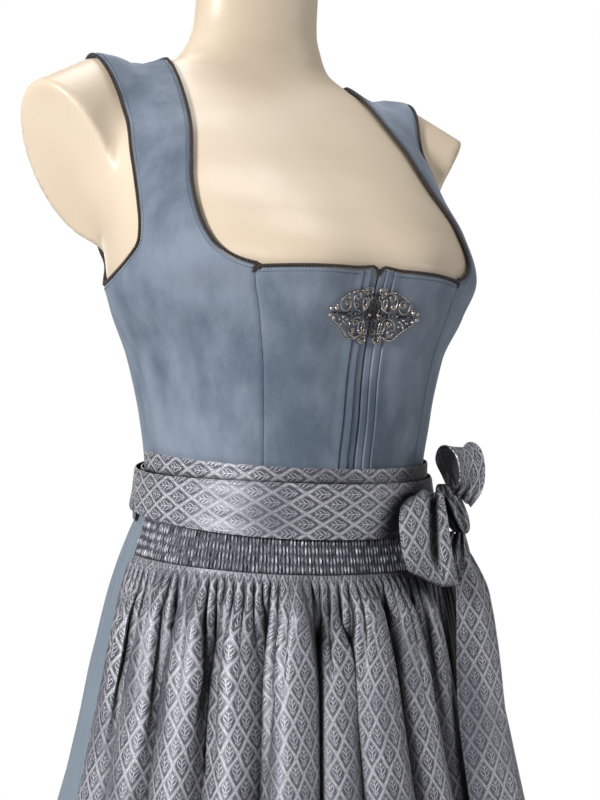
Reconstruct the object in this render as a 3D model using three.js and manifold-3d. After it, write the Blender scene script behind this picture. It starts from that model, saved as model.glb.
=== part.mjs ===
// A velvet dirndl with a jacquard apron, worn by a limbless dress form on a pole and round base.
// Units are millimetres, +Z is up, and the floor is Z = 0. The wearer faces -Y, so the
// wearer's left is +X. Heights in the tables are measured from the waist seam.

import * as THREE from 'three';
import { mergeVertices } from 'three/addons/utils/BufferGeometryUtils.js';
import Module from 'manifold-3d';

// ---------------------------------------------------------------- driving sizes

const WAIST_Z = 1050; // waist seam above the floor
const PLUMB_Y = 16; // the pole stands this far behind the bodice's own axis
const SEAM = 0.3; // gap between neighbouring pieces
const SKIRT_LENGTH = 700;
const APRON_LENGTH = 672;

// Distances from the figure to each layer of cloth, inner face first.
const FORM_INSET = 1.0;
const LAYER = {
  zipTape: [-0.4, 0.5],
  bodice: [1.6, 3.4],
  skirt: [1.6, 3.0],
  waistband: [5.3, 6.6],
  smocking: [4.0, 5.3],
  tie: [9.9, 11.1],
  tieUnder: [5.7, 6.9],
  apron: [4.2, 5.4],
  clasp: [5.1, 6.7],
};
const SMOCK_RIB = 1.9; // how far a smocked rib stands out of its band

// A short table: a line of column names, then rows of numbers in that order.
function table(columns, rows) {
  const names = columns.split(' ');
  return rows.map((row) => Object.fromEntries(names.map((name, i) => [name, row[i]])));
}

// The general figure: half width, depths before and behind its axis, and squareness of the ring.
const FIGURE = table('z half front back square', [
  [-260, 142, 90, 124, 2.1],
  [-215, 159, 94, 136, 2.15],
  [-150, 156, 98, 138, 2.15],
  [-100, 142, 100.5, 136, 2.1],
  [-50, 126, 101.5, 131, 2.05],
  [0, 117.5, 100.5, 128.5, 2.05],
  [50, 124, 106.5, 131, 2.05],
  [100, 138, 104, 123, 2.05],
  [140, 158, 112, 114.5, 2.05],
  [170, 166, 127.5, 120.5, 2.1],
  [210, 164, 104, 133, 2.3],
  [250, 162, 66, 143, 2.4],
  [285, 162, 37, 146, 2.4],
  [305, 158, 19, 143, 2.3],
  [322, 154, 2, 138, 2.25],
  [338, 145, -14, 131, 2.2],
  [352, 126, -27, 124, 2.15],
  [364, 101, -34, 118, 2.1],
  [376, 79, -34, 118, 2.05],
  [392, 68, -31, 115, 2.0],
  [412, 62, -30, 113, 2.0],
  [470, 59.5, -19, 107, 2.0],
]);
const CUP = { rise: 24.3, x: 51.5, z: 132, halfWidth: 53, halfHeight: 58.5 };

// The shoulder end: an oval stub that runs out and down, cut off square.
const STUB = {
  root: [137, 80, 292],
  towards: [1, -0.39, -0.62],
  halfHeight: 74,
  halfDepth: 50,
  rounding: 60,
  length: 58,
  stiffness: 0.5,
  blend: 0.14,
};

// The hanging surface of the skirt, in the same columns as the figure.
const HANG = table('z half front back square', [
  [20, 120, 103, 127, 2.05],
  [0, 117.5, 100.5, 128.5, 2.05],
  [-20, 120.5, 101.5, 131, 2.05],
  [-36, 124.5, 104, 133, 2.05],
  [-50, 130.5, 107, 136, 2.05],
  [-74, 139.5, 112, 142, 2.05],
  [-100, 146.5, 117, 147, 2.05],
  [-152, 158.5, 127, 156, 2.05],
  [-211, 171, 140, 167, 2.0],
  [-270, 183, 153, 180, 2.0],
  [-500, 230, 203, 229, 2.0],
  [-700, 268, 245, 269, 2.0],
]);

// Edges on the wearer's left, mirrored for the right.
const PRINCESS = table('x z', [
  [68, 0],
  [71, 36],
  [76, 87],
  [83.5, 123],
  [93, 158.5],
]);
const SIDE_SEAM = table('x y z', [
  [117.5, 12, 0],
  [124, 10, 50],
  [138, 10, 100],
  [154, 15, 132],
  [156, 25, 157],
]);
const BACK_PRINCESS = table('x y z', [
  [62, 119, 0],
  [70, 120, 45],
  [88, 109, 100],
  [115, 97, 150],
  [146, 82, 188],
]);
const NECK = table('x y z', [
  [93, -118, 158.5],
  [103, -112, 161.5],
  [113, -105, 167.5],
  [120, -97, 176],
  [124.5, -86, 190],
  [124.5, -70, 211],
  [121.5, -54, 234],
  [115, -38, 257],
  [108, -20, 285],
  [102, 7, 317],
  [98, 34, 345],
  [95, 62, 367],
]);
const BACK_NECK = table('x y z', [
  [95, 62, 367],
  [92, 86, 356],
  [88, 108, 335],
  [84, 125, 300],
  [80, 138, 262],
  [70, 142, 230],
  [50, 140, 208],
  [25, 137, 198],
  [0, 136, 195],
]);
const ARMHOLE = table('x y z', [
  [156, 25, 157],
  [157, -4, 160.5],
  [158, -30, 169],
  [158, -43, 181],
  [156.5, -42, 195],
  [153.5, -32, 217],
  [151.5, -20, 237],
  [149, -5, 262],
  [147, 8, 287],
  [149, 24, 313],
  [155, 42, 338],
  [158, 62, 352],
]);
const BACK_ARMHOLE = table('x y z', [
  [158, 62, 352],
  [154, 84, 347],
  [146, 106, 325],
  [139, 118, 290],
  [137, 120, 255],
  [140, 112, 222],
  [146, 82, 188],
]);
const UNDERARM = table('x y z', [
  [146, 82, 188],
  [152, 62, 170],
  [155, 44, 160],
  [156, 25, 157],
]);

// Columns of the front centre panel, from the closure outwards, and how the tucks raise them.
const TUCKS = table('x rise', [
  [0.6, 0],
  [3.5, 0],
  [6.9, 0.1],
  [7.7, 1.2],
  [11, 0.6],
  [14.3, 0.1],
  [15.1, 1.2],
  [20, 0.3],
  [26, 0],
]);
const TOP_CORNER = table('x z', [
  [0.6, 153.5],
  [2.4, 158],
  [5.5, 160.6],
  [10, 160],
  [24, 158.8],
  [93, 158.5],
]);

// The apron's waist lines before, and how far they rise towards the back.
const WAISTBAND = { top: 5, bottom: -20, reach: 97 };
const TIE = { top: -7, bottom: -50, narrowing: 0.2 };
const SMOCK = { top: -20.4, bottom: -77, ribs: 46, puffs: 3, reach: 87 };
const RISE_BEHIND = 26;
const TIE_UNDER_DROP = 4; // how far the under layer of the tie shows below the upper one

// Long folds of the apron: angle at the top and at the hem, half width, depth, top height.
const APRON_FOLDS = table('top hem half depth from', [
  [-79, -83, 3.8, 10, -90],
  [-68, -70, 4.2, 14, -80],
  [-55, -57, 4.4, 15, -85],
  [-40, -43, 4.6, 17, -95],
  [-25, -31, 5, 22, -80],
  [-13, -16, 3.8, 16, -110],
  [-2, 1, 5, 22, -80],
  [12, 17, 4.4, 17, -85],
  [25, 33, 4.2, 9, -85],
  [55, 60, 5, 6, -100],
  [72, 77, 5, 7, -90],
]);
const APRON = { gathers: 29, columns: 58, bands: 7, reach: 87 };
const SKIRT_FOLDS = { count: 18, depthWaist: 1.5, depthHem: 19, underApron: 0.12 };

// The bow, tied at the wearer's left front.
const KNOT = { x: 99.7, y: -98.5, z: -28, rx: 10.5, ry: 12.5, rz: 21, lean: -8 };
const RIBBON_WALL = 1.2;

// The bow, on axes of its own that turn with it: right, up and out to the front of the knot, the
// ribbon's width, how far its width swings from right to front, and how far it tilts up.
const BOW_TURN = -28;
const BOW_STEPS = 17;
const UPPER_LOOP = table('right up front width swing tilt', [
  [9, 10, 12, 20, -20, -35],
  [13, 20, 16, 26, -32, -18],
  [14, 34, 16, 31, -40, 0],
  [12.5, 47, 11, 33, -42, 6],
  [7, 54, 4, 34, -42, 6],
  [1, 52, -4, 34, -42, 6],
  [-2, 40, -9, 31, -40, 0],
  [1, 26, -12, 24, -32, -15],
  [5, 15, -13, 15, -25, -30],
]);
const LOWER_LOOP = table('right up front width swing tilt', [
  [-17, 8, 15, 16, -20, 14],
  [-27, 11, 28, 34, -24, 14],
  [-30, 3, 44, 44, -28, 12],
  [-30, -14, 53, 47, -28, 6],
  [-28, -34, 57, 46, -26, -2],
  [-23, -50, 54, 44, -24, -8],
  [-17, -53, 44, 40, -24, -16],
  [-10, -45, 35, 34, -24, -18],
  [-4, -34, 26, 24, -22, -16],
  [2, -26, 15, 14, -20, -10],
]);

// The tails hang from the knot before the apron: angle, height, stand-off, width and how far
// each turns its outer edge away from the apron.
const TAIL_BANDS = 12;
const TAIL_CROWN = 2; // how far a tail's middle stands out before its edges
const FRONT_TAIL = table('angle z out width turn', [
  [48, -52, 22, 20, 0],
  [47, -70, 24, 34, 18],
  [44, -100, 28, 42, 28],
  [33, -190, 30, 46, 30],
  [30, -260, 30, 46, 30],
  [28, -380, 32, 46, 30],
  [27, -530, 36, 46, 30],
]);
const SIDE_TAIL = table('angle z out width turn', [
  [59, -50, 24, 18, 0],
  [61, -70, 23, 28, 10],
  [62, -110, 22, 38, 15],
  [63, -190, 23, 46, 20],
  [64, -260, 23, 46, 20],
  [65, -380, 25, 46, 20],
  [66, -500, 29, 46, 20],
]);

const SKIRT_ROWS = [-0.3, -22, -60, -120, -240, -430, -SKIRT_LENGTH];
const AXIS_Y = 12; // the bodice's panels are spread about this upright axis
const BRAID = { radius: 1.5, gap: 0.45, sides: 5 };

// One half of the clasp, from the split outwards; heights from the clasp's own centre.
const CLASP = { z: 127, split: 1.2 };
const CLASP_OUTLINE = table('x z', [
  [0, -19],
  [4, -22],
  [10, -20.5],
  [16, -15.5],
  [24, -12.5],
  [31, -7],
  [36.5, -4.5],
  [40.5, 0],
  [36.5, 4.5],
  [31, 7],
  [24, 12.5],
  [16, 15.5],
  [10, 20.5],
  [4, 22],
  [0, 19],
]);
const CLASP_HOLES = table('x z rx rz turn', [
  [6.5, 15, 3.4, 2.7, 0],
  [6.5, -15, 3.4, 2.7, 0],
  [15.5, 9, 3.8, 2.5, -35],
  [15.5, -9, 3.8, 2.5, 35],
  [24.5, 6.2, 2.9, 2.1, -25],
  [24.5, -6.2, 2.9, 2.1, 25],
  [7.5, 6.3, 2.6, 2.3, 0],
  [7.5, -6.3, 2.6, 2.3, 0],
]);

// The dress form's rings, and how far each is drawn in from the figure.
const FORM_COLUMNS = 26;
const FORM_RINGS = table('z inset', [
  [-258, 18],
  [-255, 7],
  [-247, 1],
  [-215, 1],
  [-160, 1],
  [-105, 1],
  [-55, 1],
  [-5, 1.6],
  [40, 1.6],
  [80, 1.6],
  [112, 1.8],
  [135, 2.4],
  [158, 1.8],
  [185, 1],
  [215, 1],
  [250, 1],
  [284, 1],
  [308, 1],
  [324, 1],
  [335, 1],
  [343, 1],
  [351, 1],
  [358, 1],
  [365, 1],
  [373, 1],
  [384, 1],
  [402, 1],
  [456, 1],
  [466, 4],
  [470, 12],
]);
// The stand, turned in one: round base, pole and the collar under the dress form.
const STAND_PROFILE = table('r z', [
  [0, 0],
  [183, 0],
  [185, 2],
  [185, 9],
  [181, 12],
  [40, 14],
  [24, 20],
  [16, 34],
  [16, 752],
  [26, 756],
  [26, 791.7],
  [0, 791.7],
]);
const STAND_SIDES = 28;

// ---------------------------------------------------------------- curves and surfaces

// Monotone cubic interpolation of named columns against one rising or falling column.
function profile(rows, key, names) {
  const sorted = [...rows].sort((a, b) => a[key] - b[key]);
  const xs = sorted.map((row) => row[key]);
  const slopes = {};
  for (const name of names) {
    const d = xs.slice(1).map((x, i) => (sorted[i + 1][name] - sorted[i][name]) / (x - xs[i]));
    slopes[name] = xs.map((_, i) => {
      if (i === 0) return d[0];
      if (i === xs.length - 1) return d[i - 1];
      if (d[i - 1] * d[i] <= 0) return 0;
      return (2 * d[i - 1] * d[i]) / (d[i - 1] + d[i]);
    });
  }
  return (at) => {
    const x = THREE.MathUtils.clamp(at, xs[0], xs[xs.length - 1]);
    let i = 0;
    while (i < xs.length - 2 && x > xs[i + 1]) i += 1;
    const h = xs[i + 1] - xs[i];
    const t = (x - xs[i]) / h;
    const out = {};
    for (const name of names) {
      const a = sorted[i][name];
      const b = sorted[i + 1][name];
      const ma = slopes[name][i] * h;
      const mb = slopes[name][i + 1] * h;
      out[name] = a * (1 + 2 * t) * (1 - t) ** 2 + ma * t * (1 - t) ** 2
        + b * t * t * (3 - 2 * t) + mb * t * t * (t - 1);
    }
    return out;
  };
}

const RING = ['half', 'front', 'back', 'square'];
const figureRing = profile(FIGURE, 'z', RING);
const hangRing = profile(HANG, 'z', RING);
const princessX = profile(PRINCESS, 'z', ['x']);
const cornerZ = profile(TOP_CORNER, 'x', ['z']);
const tuckRise = profile(TUCKS, 'x', ['rise']);

const degrees = (angle) => (angle * Math.PI) / 180;
const smooth = (low, high, x) => THREE.MathUtils.smoothstep(x, low, high);

// Below zero inside the ring of one height, and zero on it.
function ringField(ring, x, y, bump) {
  const centre = (ring.back - ring.front) / 2;
  const depth = (ring.back + ring.front) / 2 + (y < centre ? bump : 0);
  const a = Math.abs(x) / ring.half;
  const b = Math.abs(y - centre) / depth;
  return (a ** ring.square + b ** ring.square) ** (1 / ring.square) - 1;
}

function torsoField(p) {
  const along = (p.z - CUP.z) / CUP.halfHeight;
  const across = [-1, 1].map((side) => (p.x - side * CUP.x) / CUP.halfWidth);
  const rise = across.reduce((sum, t) => sum + Math.exp(-t * t - along * along), 0);
  return ringField(figureRing(p.z), p.x, p.y, CUP.rise * rise);
}

const stubAxis = new THREE.Vector3(...STUB.towards).normalize();
const stubUp = new THREE.Vector3(0, 0, 1).addScaledVector(stubAxis, -stubAxis.z).normalize();
const stubSide = new THREE.Vector3().crossVectors(stubUp, stubAxis);

function stubField(p) {
  const q = new THREE.Vector3(Math.abs(p.x), p.y, p.z).sub(new THREE.Vector3(...STUB.root));
  const along = q.dot(stubAxis);
  const up = q.dot(stubUp) / STUB.halfHeight;
  const side = q.dot(stubSide) / STUB.halfDepth;
  const behind = Math.min(along, 0) / STUB.rounding;
  const oval = (Math.sqrt(up * up + side * side + behind * behind) - 1) * STUB.stiffness;
  return Math.max(oval, (along - STUB.length) / 110);
}

// The whole figure: torso and shoulder stubs, run softly into each other.
function figureField(p) {
  const a = torsoField(p);
  const b = stubField(p);
  const h = THREE.MathUtils.clamp(0.5 + (a - b) / (2 * STUB.blend), 0, 1);
  return a * (1 - h) + b * h - STUB.blend * h * (1 - h);
}

function hangField(p) {
  return ringField(hangRing(p.z), p.x, p.y, 0);
}

function gradient(field, p) {
  const step = 0.4;
  const out = new THREE.Vector3();
  for (const axis of ['x', 'y', 'z']) {
    const q = p.clone();
    q[axis] = p[axis] + step;
    const high = field(q);
    q[axis] = p[axis] - step;
    out[axis] = (high - field(q)) / (2 * step);
  }
  return out;
}

const normalAt = (field, p) => gradient(field, p).normalize();

// Moves a point along the steepest way until it lies on the surface.
function settle(field, start) {
  const p = start.clone();
  for (let i = 0; i < 12; i += 1) {
    const g = gradient(field, p);
    p.addScaledVector(g, -field(p) / g.lengthSq());
  }
  return p;
}

// The point of a surface seen from its axis at an angle from the front and a height.
function around(field, angle, z, ring) {
  const r = ring(z);
  const origin = new THREE.Vector3(0, (r.back - r.front) / 2, z);
  const way = new THREE.Vector3(Math.sin(degrees(angle)), -Math.cos(degrees(angle)), 0);
  let low = 0;
  let high = 420;
  for (let i = 0; i < 40; i += 1) {
    const middle = (low + high) / 2;
    if (field(origin.clone().addScaledVector(way, middle)) < 0) low = middle;
    else high = middle;
  }
  return origin.addScaledVector(way, low);
}

// The point of the figure's front at a distance from the centre line and a height.
function onFront(x, z) {
  let low = 0;
  let high = 260;
  for (let i = 0; i < 40; i += 1) {
    const middle = (low + high) / 2;
    if (figureField(new THREE.Vector3(x, -middle, z)) < 0) low = middle;
    else high = middle;
  }
  return new THREE.Vector3(x, -low, z);
}

const mirrored = (p, side) => new THREE.Vector3(p.x * side, p.y, p.z);

// A smooth edge through a table of points, each of them settled on the figure.
function edge(rows) {
  const points = rows.map((row) => settle(figureField, new THREE.Vector3(row.x, row.y, row.z)));
  const curve = new THREE.CatmullRomCurve3(points, false, 'centripetal');
  return (t) => settle(figureField, curve.getPointAt(THREE.MathUtils.clamp(t, 0, 1)));
}

// ---------------------------------------------------------------- solids

// Collects vertices and faces, and gives one closed geometry with its faces pointing out.
class Solid {
  constructor() {
    this.vertices = [];
    this.faces = [];
  }

  point(p) {
    this.vertices.push(p);
    return this.vertices.length - 1;
  }

  quad(a, b, c, d) {
    this.faces.push([a, b, c], [a, c, d]);
  }

  fan(loop, centre) {
    const middle = this.point(centre);
    loop.forEach((v, i) => this.faces.push([middle, v, loop[(i + 1) % loop.length]]));
  }

  geometry() {
    const volume = this.faces.reduce((sum, [a, b, c]) => {
      const [p, q, r] = [this.vertices[a], this.vertices[b], this.vertices[c]];
      return sum + p.dot(new THREE.Vector3().crossVectors(q, r));
    }, 0);
    const faces = volume < 0 ? this.faces.map(([a, b, c]) => [a, c, b]) : this.faces;
    const out = new THREE.BufferGeometry();
    const flat = this.vertices.flatMap((p) => [p.x, p.y, p.z]);
    out.setAttribute('position', new THREE.Float32BufferAttribute(flat, 3));
    out.setIndex(faces.flat());
    out.computeVertexNormals();
    return out;
  }
}

// A wall of cloth on a grid of points: each point is moved out along its normal by the inner
// and the outer distance. keep says which cells hold cloth.
function wall(points, normals, inner, outer, keep = () => true) {
  const solid = new Solid();
  const rows = points.length;
  const columns = points[0].length;
  const at = (distance) => points.map((row, i) => row.map((p, j) => {
    const d = typeof distance === 'function' ? distance(i, j) : distance;
    return p.clone().addScaledVector(normals[i][j], d);
  }));
  const faces = [at(outer), at(inner)];
  const index = faces.map(() => new Map());
  const vertex = (face, i, j) => {
    const key = i * columns + j;
    if (!index[face].has(key)) index[face].set(key, solid.point(faces[face][i][j]));
    return index[face].get(key);
  };
  const kept = (i, j) => i >= 0 && j >= 0 && i < rows - 1 && j < columns - 1 && keep(i, j);
  for (let i = 0; i < rows - 1; i += 1) {
    for (let j = 0; j < columns - 1; j += 1) {
      if (kept(i, j)) {
        const corners = [[i, j], [i, j + 1], [i + 1, j + 1], [i + 1, j]];
        solid.quad(...corners.map(([a, b]) => vertex(0, a, b)));
        solid.quad(...[...corners].reverse().map(([a, b]) => vertex(1, a, b)));
        const beyond = [[i - 1, j], [i, j + 1], [i + 1, j], [i, j - 1]];
        beyond.forEach(([a, b], k) => {
          if (!kept(a, b)) {
            const from = corners[k];
            const to = corners[(k + 1) % 4];
            solid.quad(vertex(0, ...to), vertex(0, ...from), vertex(1, ...from), vertex(1, ...to));
          }
        });
      }
    }
  }
  return solid.geometry();
}

// The same wall, with its relief on the outer face only and a plain inner face of one band.
function reliefWall(outerGrid, innerRows) {
  const solid = new Solid();
  const outer = outerGrid.map((row) => row.map((p) => solid.point(p)));
  const inner = innerRows.map((row) => row.map((p) => solid.point(p)));
  const rows = outer.length;
  const columns = outer[0].length;
  for (let j = 0; j < columns - 1; j += 1) {
    for (let i = 0; i < rows - 1; i += 1) {
      solid.quad(outer[i][j], outer[i][j + 1], outer[i + 1][j + 1], outer[i + 1][j]);
    }
    solid.quad(inner[1][j], inner[1][j + 1], inner[0][j + 1], inner[0][j]);
    solid.quad(outer[0][j + 1], outer[0][j], inner[0][j], inner[0][j + 1]);
    solid.quad(outer[rows - 1][j], outer[rows - 1][j + 1], inner[1][j + 1], inner[1][j]);
  }
  for (const [j, flip] of [[0, false], [columns - 1, true]]) {
    const face = innerRows[0][j].clone().lerp(innerRows[1][j], 0.5);
    const middle = solid.point(face.lerp(outerGrid[(rows - 1) / 2][j], 0.5));
    const loop = [inner[0][j], ...outer.map((row) => row[j]), inner[1][j]];
    loop.forEach((v, i) => {
      const next = loop[(i + 1) % loop.length];
      solid.faces.push(flip ? [middle, next, v] : [middle, v, next]);
    });
  }
  return solid.geometry();
}

// A round cord through points, with the surface's normals to steady its section.
function cord(points, normals, radius, sides, closed) {
  const solid = new Solid();
  const count = points.length;
  const rings = points.map((p, i) => {
    const before = points[closed ? (i + count - 1) % count : Math.max(i - 1, 0)];
    const after = points[closed ? (i + 1) % count : Math.min(i + 1, count - 1)];
    const along = after.clone().sub(before).normalize();
    const u = normals[i].clone().addScaledVector(along, -normals[i].dot(along)).normalize();
    const v = new THREE.Vector3().crossVectors(along, u);
    return Array.from({ length: sides }, (_, k) => {
      const a = (2 * Math.PI * (k + 0.5)) / sides;
      const out = p.clone().addScaledVector(u, radius * Math.cos(a));
      return solid.point(out.addScaledVector(v, radius * Math.sin(a)));
    });
  });
  const spans = closed ? count : count - 1;
  for (let i = 0; i < spans; i += 1) {
    const a = rings[i];
    const b = rings[(i + 1) % count];
    for (let k = 0; k < sides; k += 1) {
      const n = (k + 1) % sides;
      solid.quad(a[k], b[k], b[n], a[n]);
    }
  }
  if (!closed) {
    solid.fan([...rings[0]], points[0].clone());
    solid.fan([...rings[count - 1]].reverse(), points[count - 1].clone());
  }
  return solid.geometry();
}

// A ribbon of cloth along a path, with a direction across it at each point.
function ribbon(path, across, width, thickness) {
  const grid = [];
  const normals = [];
  path.forEach((p, i) => {
    const before = path[Math.max(i - 1, 0)];
    const after = path[Math.min(i + 1, path.length - 1)];
    const along = after.clone().sub(before).normalize();
    const side = across[i].clone().normalize();
    const n = new THREE.Vector3().crossVectors(along, side).normalize();
    const w = typeof width === 'function' ? width(i / (path.length - 1)) : width;
    const steps = [-0.5, -0.25, 0, 0.25, 0.5];
    const cup = (s) => w * 0.12 * (1 - 4 * s * s);
    grid.push(steps.map((s) => p.clone().addScaledVector(side, s * w).addScaledVector(n, cup(s))));
    normals.push(steps.map(() => n));
  });
  return wall(grid, normals, -thickness / 2, thickness / 2);
}

// ---------------------------------------------------------------- finishes

const FINISHES = {
  velvet: { color: 0x5f7088, roughness: 0.85, metalness: 0 },
  braid: { color: 0x231d1e, roughness: 0.8, metalness: 0 },
  twill: { color: 0x7d8a99, roughness: 0.6, metalness: 0 },
  jacquard: { color: 0x6d6d7c, roughness: 0.5, metalness: 0 },
  clasp: { color: 0x6e6459, roughness: 0.4, metalness: 0.9 },
  form: { color: 0xdccbb2, roughness: 0.45, metalness: 0 },
  steel: { color: 0xb9b9b6, roughness: 0.3, metalness: 0.9 },
};

const garment = new THREE.Group();
garment.position.set(0, -PLUMB_Y, WAIST_Z);

function add(name, geometry, finish) {
  const mesh = new THREE.Mesh(geometry, new THREE.MeshStandardMaterial(FINISHES[finish]));
  mesh.name = name;
  garment.add(mesh);
}

const SIDES = [['left', 1], ['right', -1]];
const grid = (rows, columns, at) => Array.from({ length: rows + 1 }, (_, i) => (
  Array.from({ length: columns + 1 }, (__, j) => at(i / rows, j / columns, i, j))));
const normalsOf = (points, field) => points.map((row) => row.map((p) => normalAt(field, p)));

// ---------------------------------------------------------------- bodice

const BODICE_BANDS = 8;
const TURN_BANDS = 5;
const STRAP_BANDS = 9;
const TURN_SHARE_NECK = 0.2; // share of the neck edge that the turn into the strap takes
const TURN_SHARE_ARM = 0.36; // share of the armhole that it takes
const ROOT_SHARE_NECK = 0.5; // where the back straps begin on the back neck
const ROOT_SHARE_ARM = 0.62; // and on the back armhole
const ROOT_BANDS = 3;
const UNDERARM_COLUMNS = 5;
const SIDE_BACK_WIDTH = 80; // narrowest width of the side back, at the waist
const BACK_WIDTH = 150; // and of the back
const NECK_COLUMNS = 8; // columns of the back between its straps
const CREST_GAP = 0.002; // share of an edge left open at the shoulder seam

const sharesOf = (count) => Array.from({ length: count + 1 }, (_, k) => k / count);
const stepsBetween = (from, to, count) => sharesOf(count).map((t) => THREE.MathUtils.lerp(from, to, t));

// Shares of each edge where the panels' rows end; the braids follow the same points.
const neckShares = [
  ...stepsBetween(0, TURN_SHARE_NECK, TURN_BANDS),
  ...stepsBetween(TURN_SHARE_NECK, 1 - CREST_GAP, STRAP_BANDS).slice(1),
];
const armShares = [
  ...stepsBetween(0, TURN_SHARE_ARM, TURN_BANDS),
  ...stepsBetween(TURN_SHARE_ARM, 1 - CREST_GAP, STRAP_BANDS).slice(1),
];
const backNeckShares = [
  ...stepsBetween(CREST_GAP, ROOT_SHARE_NECK, STRAP_BANDS),
  ...stepsBetween(ROOT_SHARE_NECK, 1, NECK_COLUMNS / 2).slice(1),
];
const backArmShares = [
  ...stepsBetween(CREST_GAP, ROOT_SHARE_ARM, STRAP_BANDS),
  ...stepsBetween(ROOT_SHARE_ARM, 1, ROOT_BANDS).slice(1),
];

const neckEdge = edge(NECK);
const armEdge = edge(ARMHOLE);
const backNeckEdge = edge(BACK_NECK);
const backArmEdge = edge(BACK_ARMHOLE);
const underarmEdge = edge(UNDERARM);
const backPrincessEdge = edge(BACK_PRINCESS);
const sideEdge = edge(SIDE_SEAM);
const topZ = (x) => cornerZ(x).z;
const TOP_END = 93; // where the top edge meets the princess seam and the strap begins

function frontCentre(side) {
  const seamX = (v) => princessX(v * topZ(TOP_END)).x - SEAM / 2;
  const spread = [0, 0.22, 0.45, 0.72, 1];
  const points = grid(BODICE_BANDS, TUCKS.length + spread.length - 2, (v, _, i, j) => {
    const last = TUCKS.length - 1;
    const fixed = TUCKS[Math.min(j, last)].x;
    const x = j < last ? fixed : THREE.MathUtils.lerp(TUCKS[last].x, seamX(v), spread[j - last]);
    return mirrored(onFront(x, v * topZ(x)), side);
  });
  const rise = (i, j) => LAYER.bodice[1] + tuckRise(Math.abs(points[i][j].x)).rise;
  return wall(points, normalsOf(points, figureField), LAYER.bodice[0], rise);
}

// A point between two edge points, along a round path about the bodice's axis.
function between(a, b, t) {
  const polar = (p) => [Math.atan2(p.x, -(p.y - AXIS_Y)), Math.hypot(p.x, p.y - AXIS_Y)];
  const [angleA, radiusA] = polar(a);
  const [angleB, radiusB] = polar(b);
  const turn = angleB - angleA;
  const wrapped = turn - 2 * Math.PI * Math.round(turn / (2 * Math.PI));
  const angle = angleA + wrapped * t;
  const radius = THREE.MathUtils.lerp(radiusA, radiusB, t);
  const z = THREE.MathUtils.lerp(a.z, b.z, t);
  const p = new THREE.Vector3(radius * Math.sin(angle), AXIS_Y - radius * Math.cos(angle), z);
  return settle(figureField, p);
}

function frontSide(side) {
  const columns = 5;
  const heights = sharesOf(BODICE_BANDS).map((v) => v * topZ(TOP_END));
  const inner = [
    ...heights.map((z) => onFront(princessX(z).x + SEAM / 2, z)),
    ...neckShares.slice(1).map(neckEdge),
  ];
  const outer = [...sharesOf(BODICE_BANDS).map(sideEdge), ...armShares.slice(1).map(armEdge)];
  const points = inner.map((a, i) => grid(0, columns, (_, u) => {
    const seam = SEAM / 2 / a.distanceTo(outer[i]);
    return mirrored(between(a, outer[i], i <= BODICE_BANDS ? u * (1 - seam) : u), side);
  })[0]);
  return wall(points, normalsOf(points, figureField), ...LAYER.bodice);
}

// A patch between four edge curves, spread evenly about the bodice's axis and settled on the figure.
// The columns are given by their shares of the width.
function patch(bottom, top, left, right, bands, shares) {
  const polar = (p) => {
    const y = p.y - AXIS_Y;
    return new THREE.Vector3(Math.atan2(p.x, y), Math.hypot(p.x, y), p.z);
  };
  const corner = [bottom(0), bottom(1), top(0), top(1)].map(polar);
  return Array.from({ length: bands + 1 }, (_, i) => shares.map((u) => {
    const v = i / bands;
    const q = new THREE.Vector3()
      .addScaledVector(polar(bottom(u)), 1 - v)
      .addScaledVector(polar(top(u)), v)
      .addScaledVector(polar(left(v)), 1 - u)
      .addScaledVector(polar(right(v)), u)
      .addScaledVector(corner[0], -(1 - u) * (1 - v))
      .addScaledVector(corner[1], -u * (1 - v))
      .addScaledVector(corner[2], -(1 - u) * v)
      .addScaledVector(corner[3], -u * v);
    const p = new THREE.Vector3(q.y * Math.sin(q.x), AXIS_Y + q.y * Math.cos(q.x), q.z);
    return settle(figureField, p);
  }));
}

// Draws the shares of a panel's width in by half a seam on each side.
const insideSeams = (width) => (u) => THREE.MathUtils.lerp(SEAM / 2 / width, 1 - SEAM / 2 / width, u);

function sideBack(side) {
  const low = [sideEdge(0), backPrincessEdge(0)];
  const points = patch(
    (u) => between(low[0], low[1], u),
    (u) => underarmEdge(1 - u),
    sideEdge,
    backPrincessEdge,
    BODICE_BANDS,
    sharesOf(UNDERARM_COLUMNS).map(insideSeams(SIDE_BACK_WIDTH)),
  ).map((row) => row.map((p) => mirrored(p, side)));
  return wall(points, normalsOf(points, figureField), ...LAYER.bodice);
}

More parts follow.
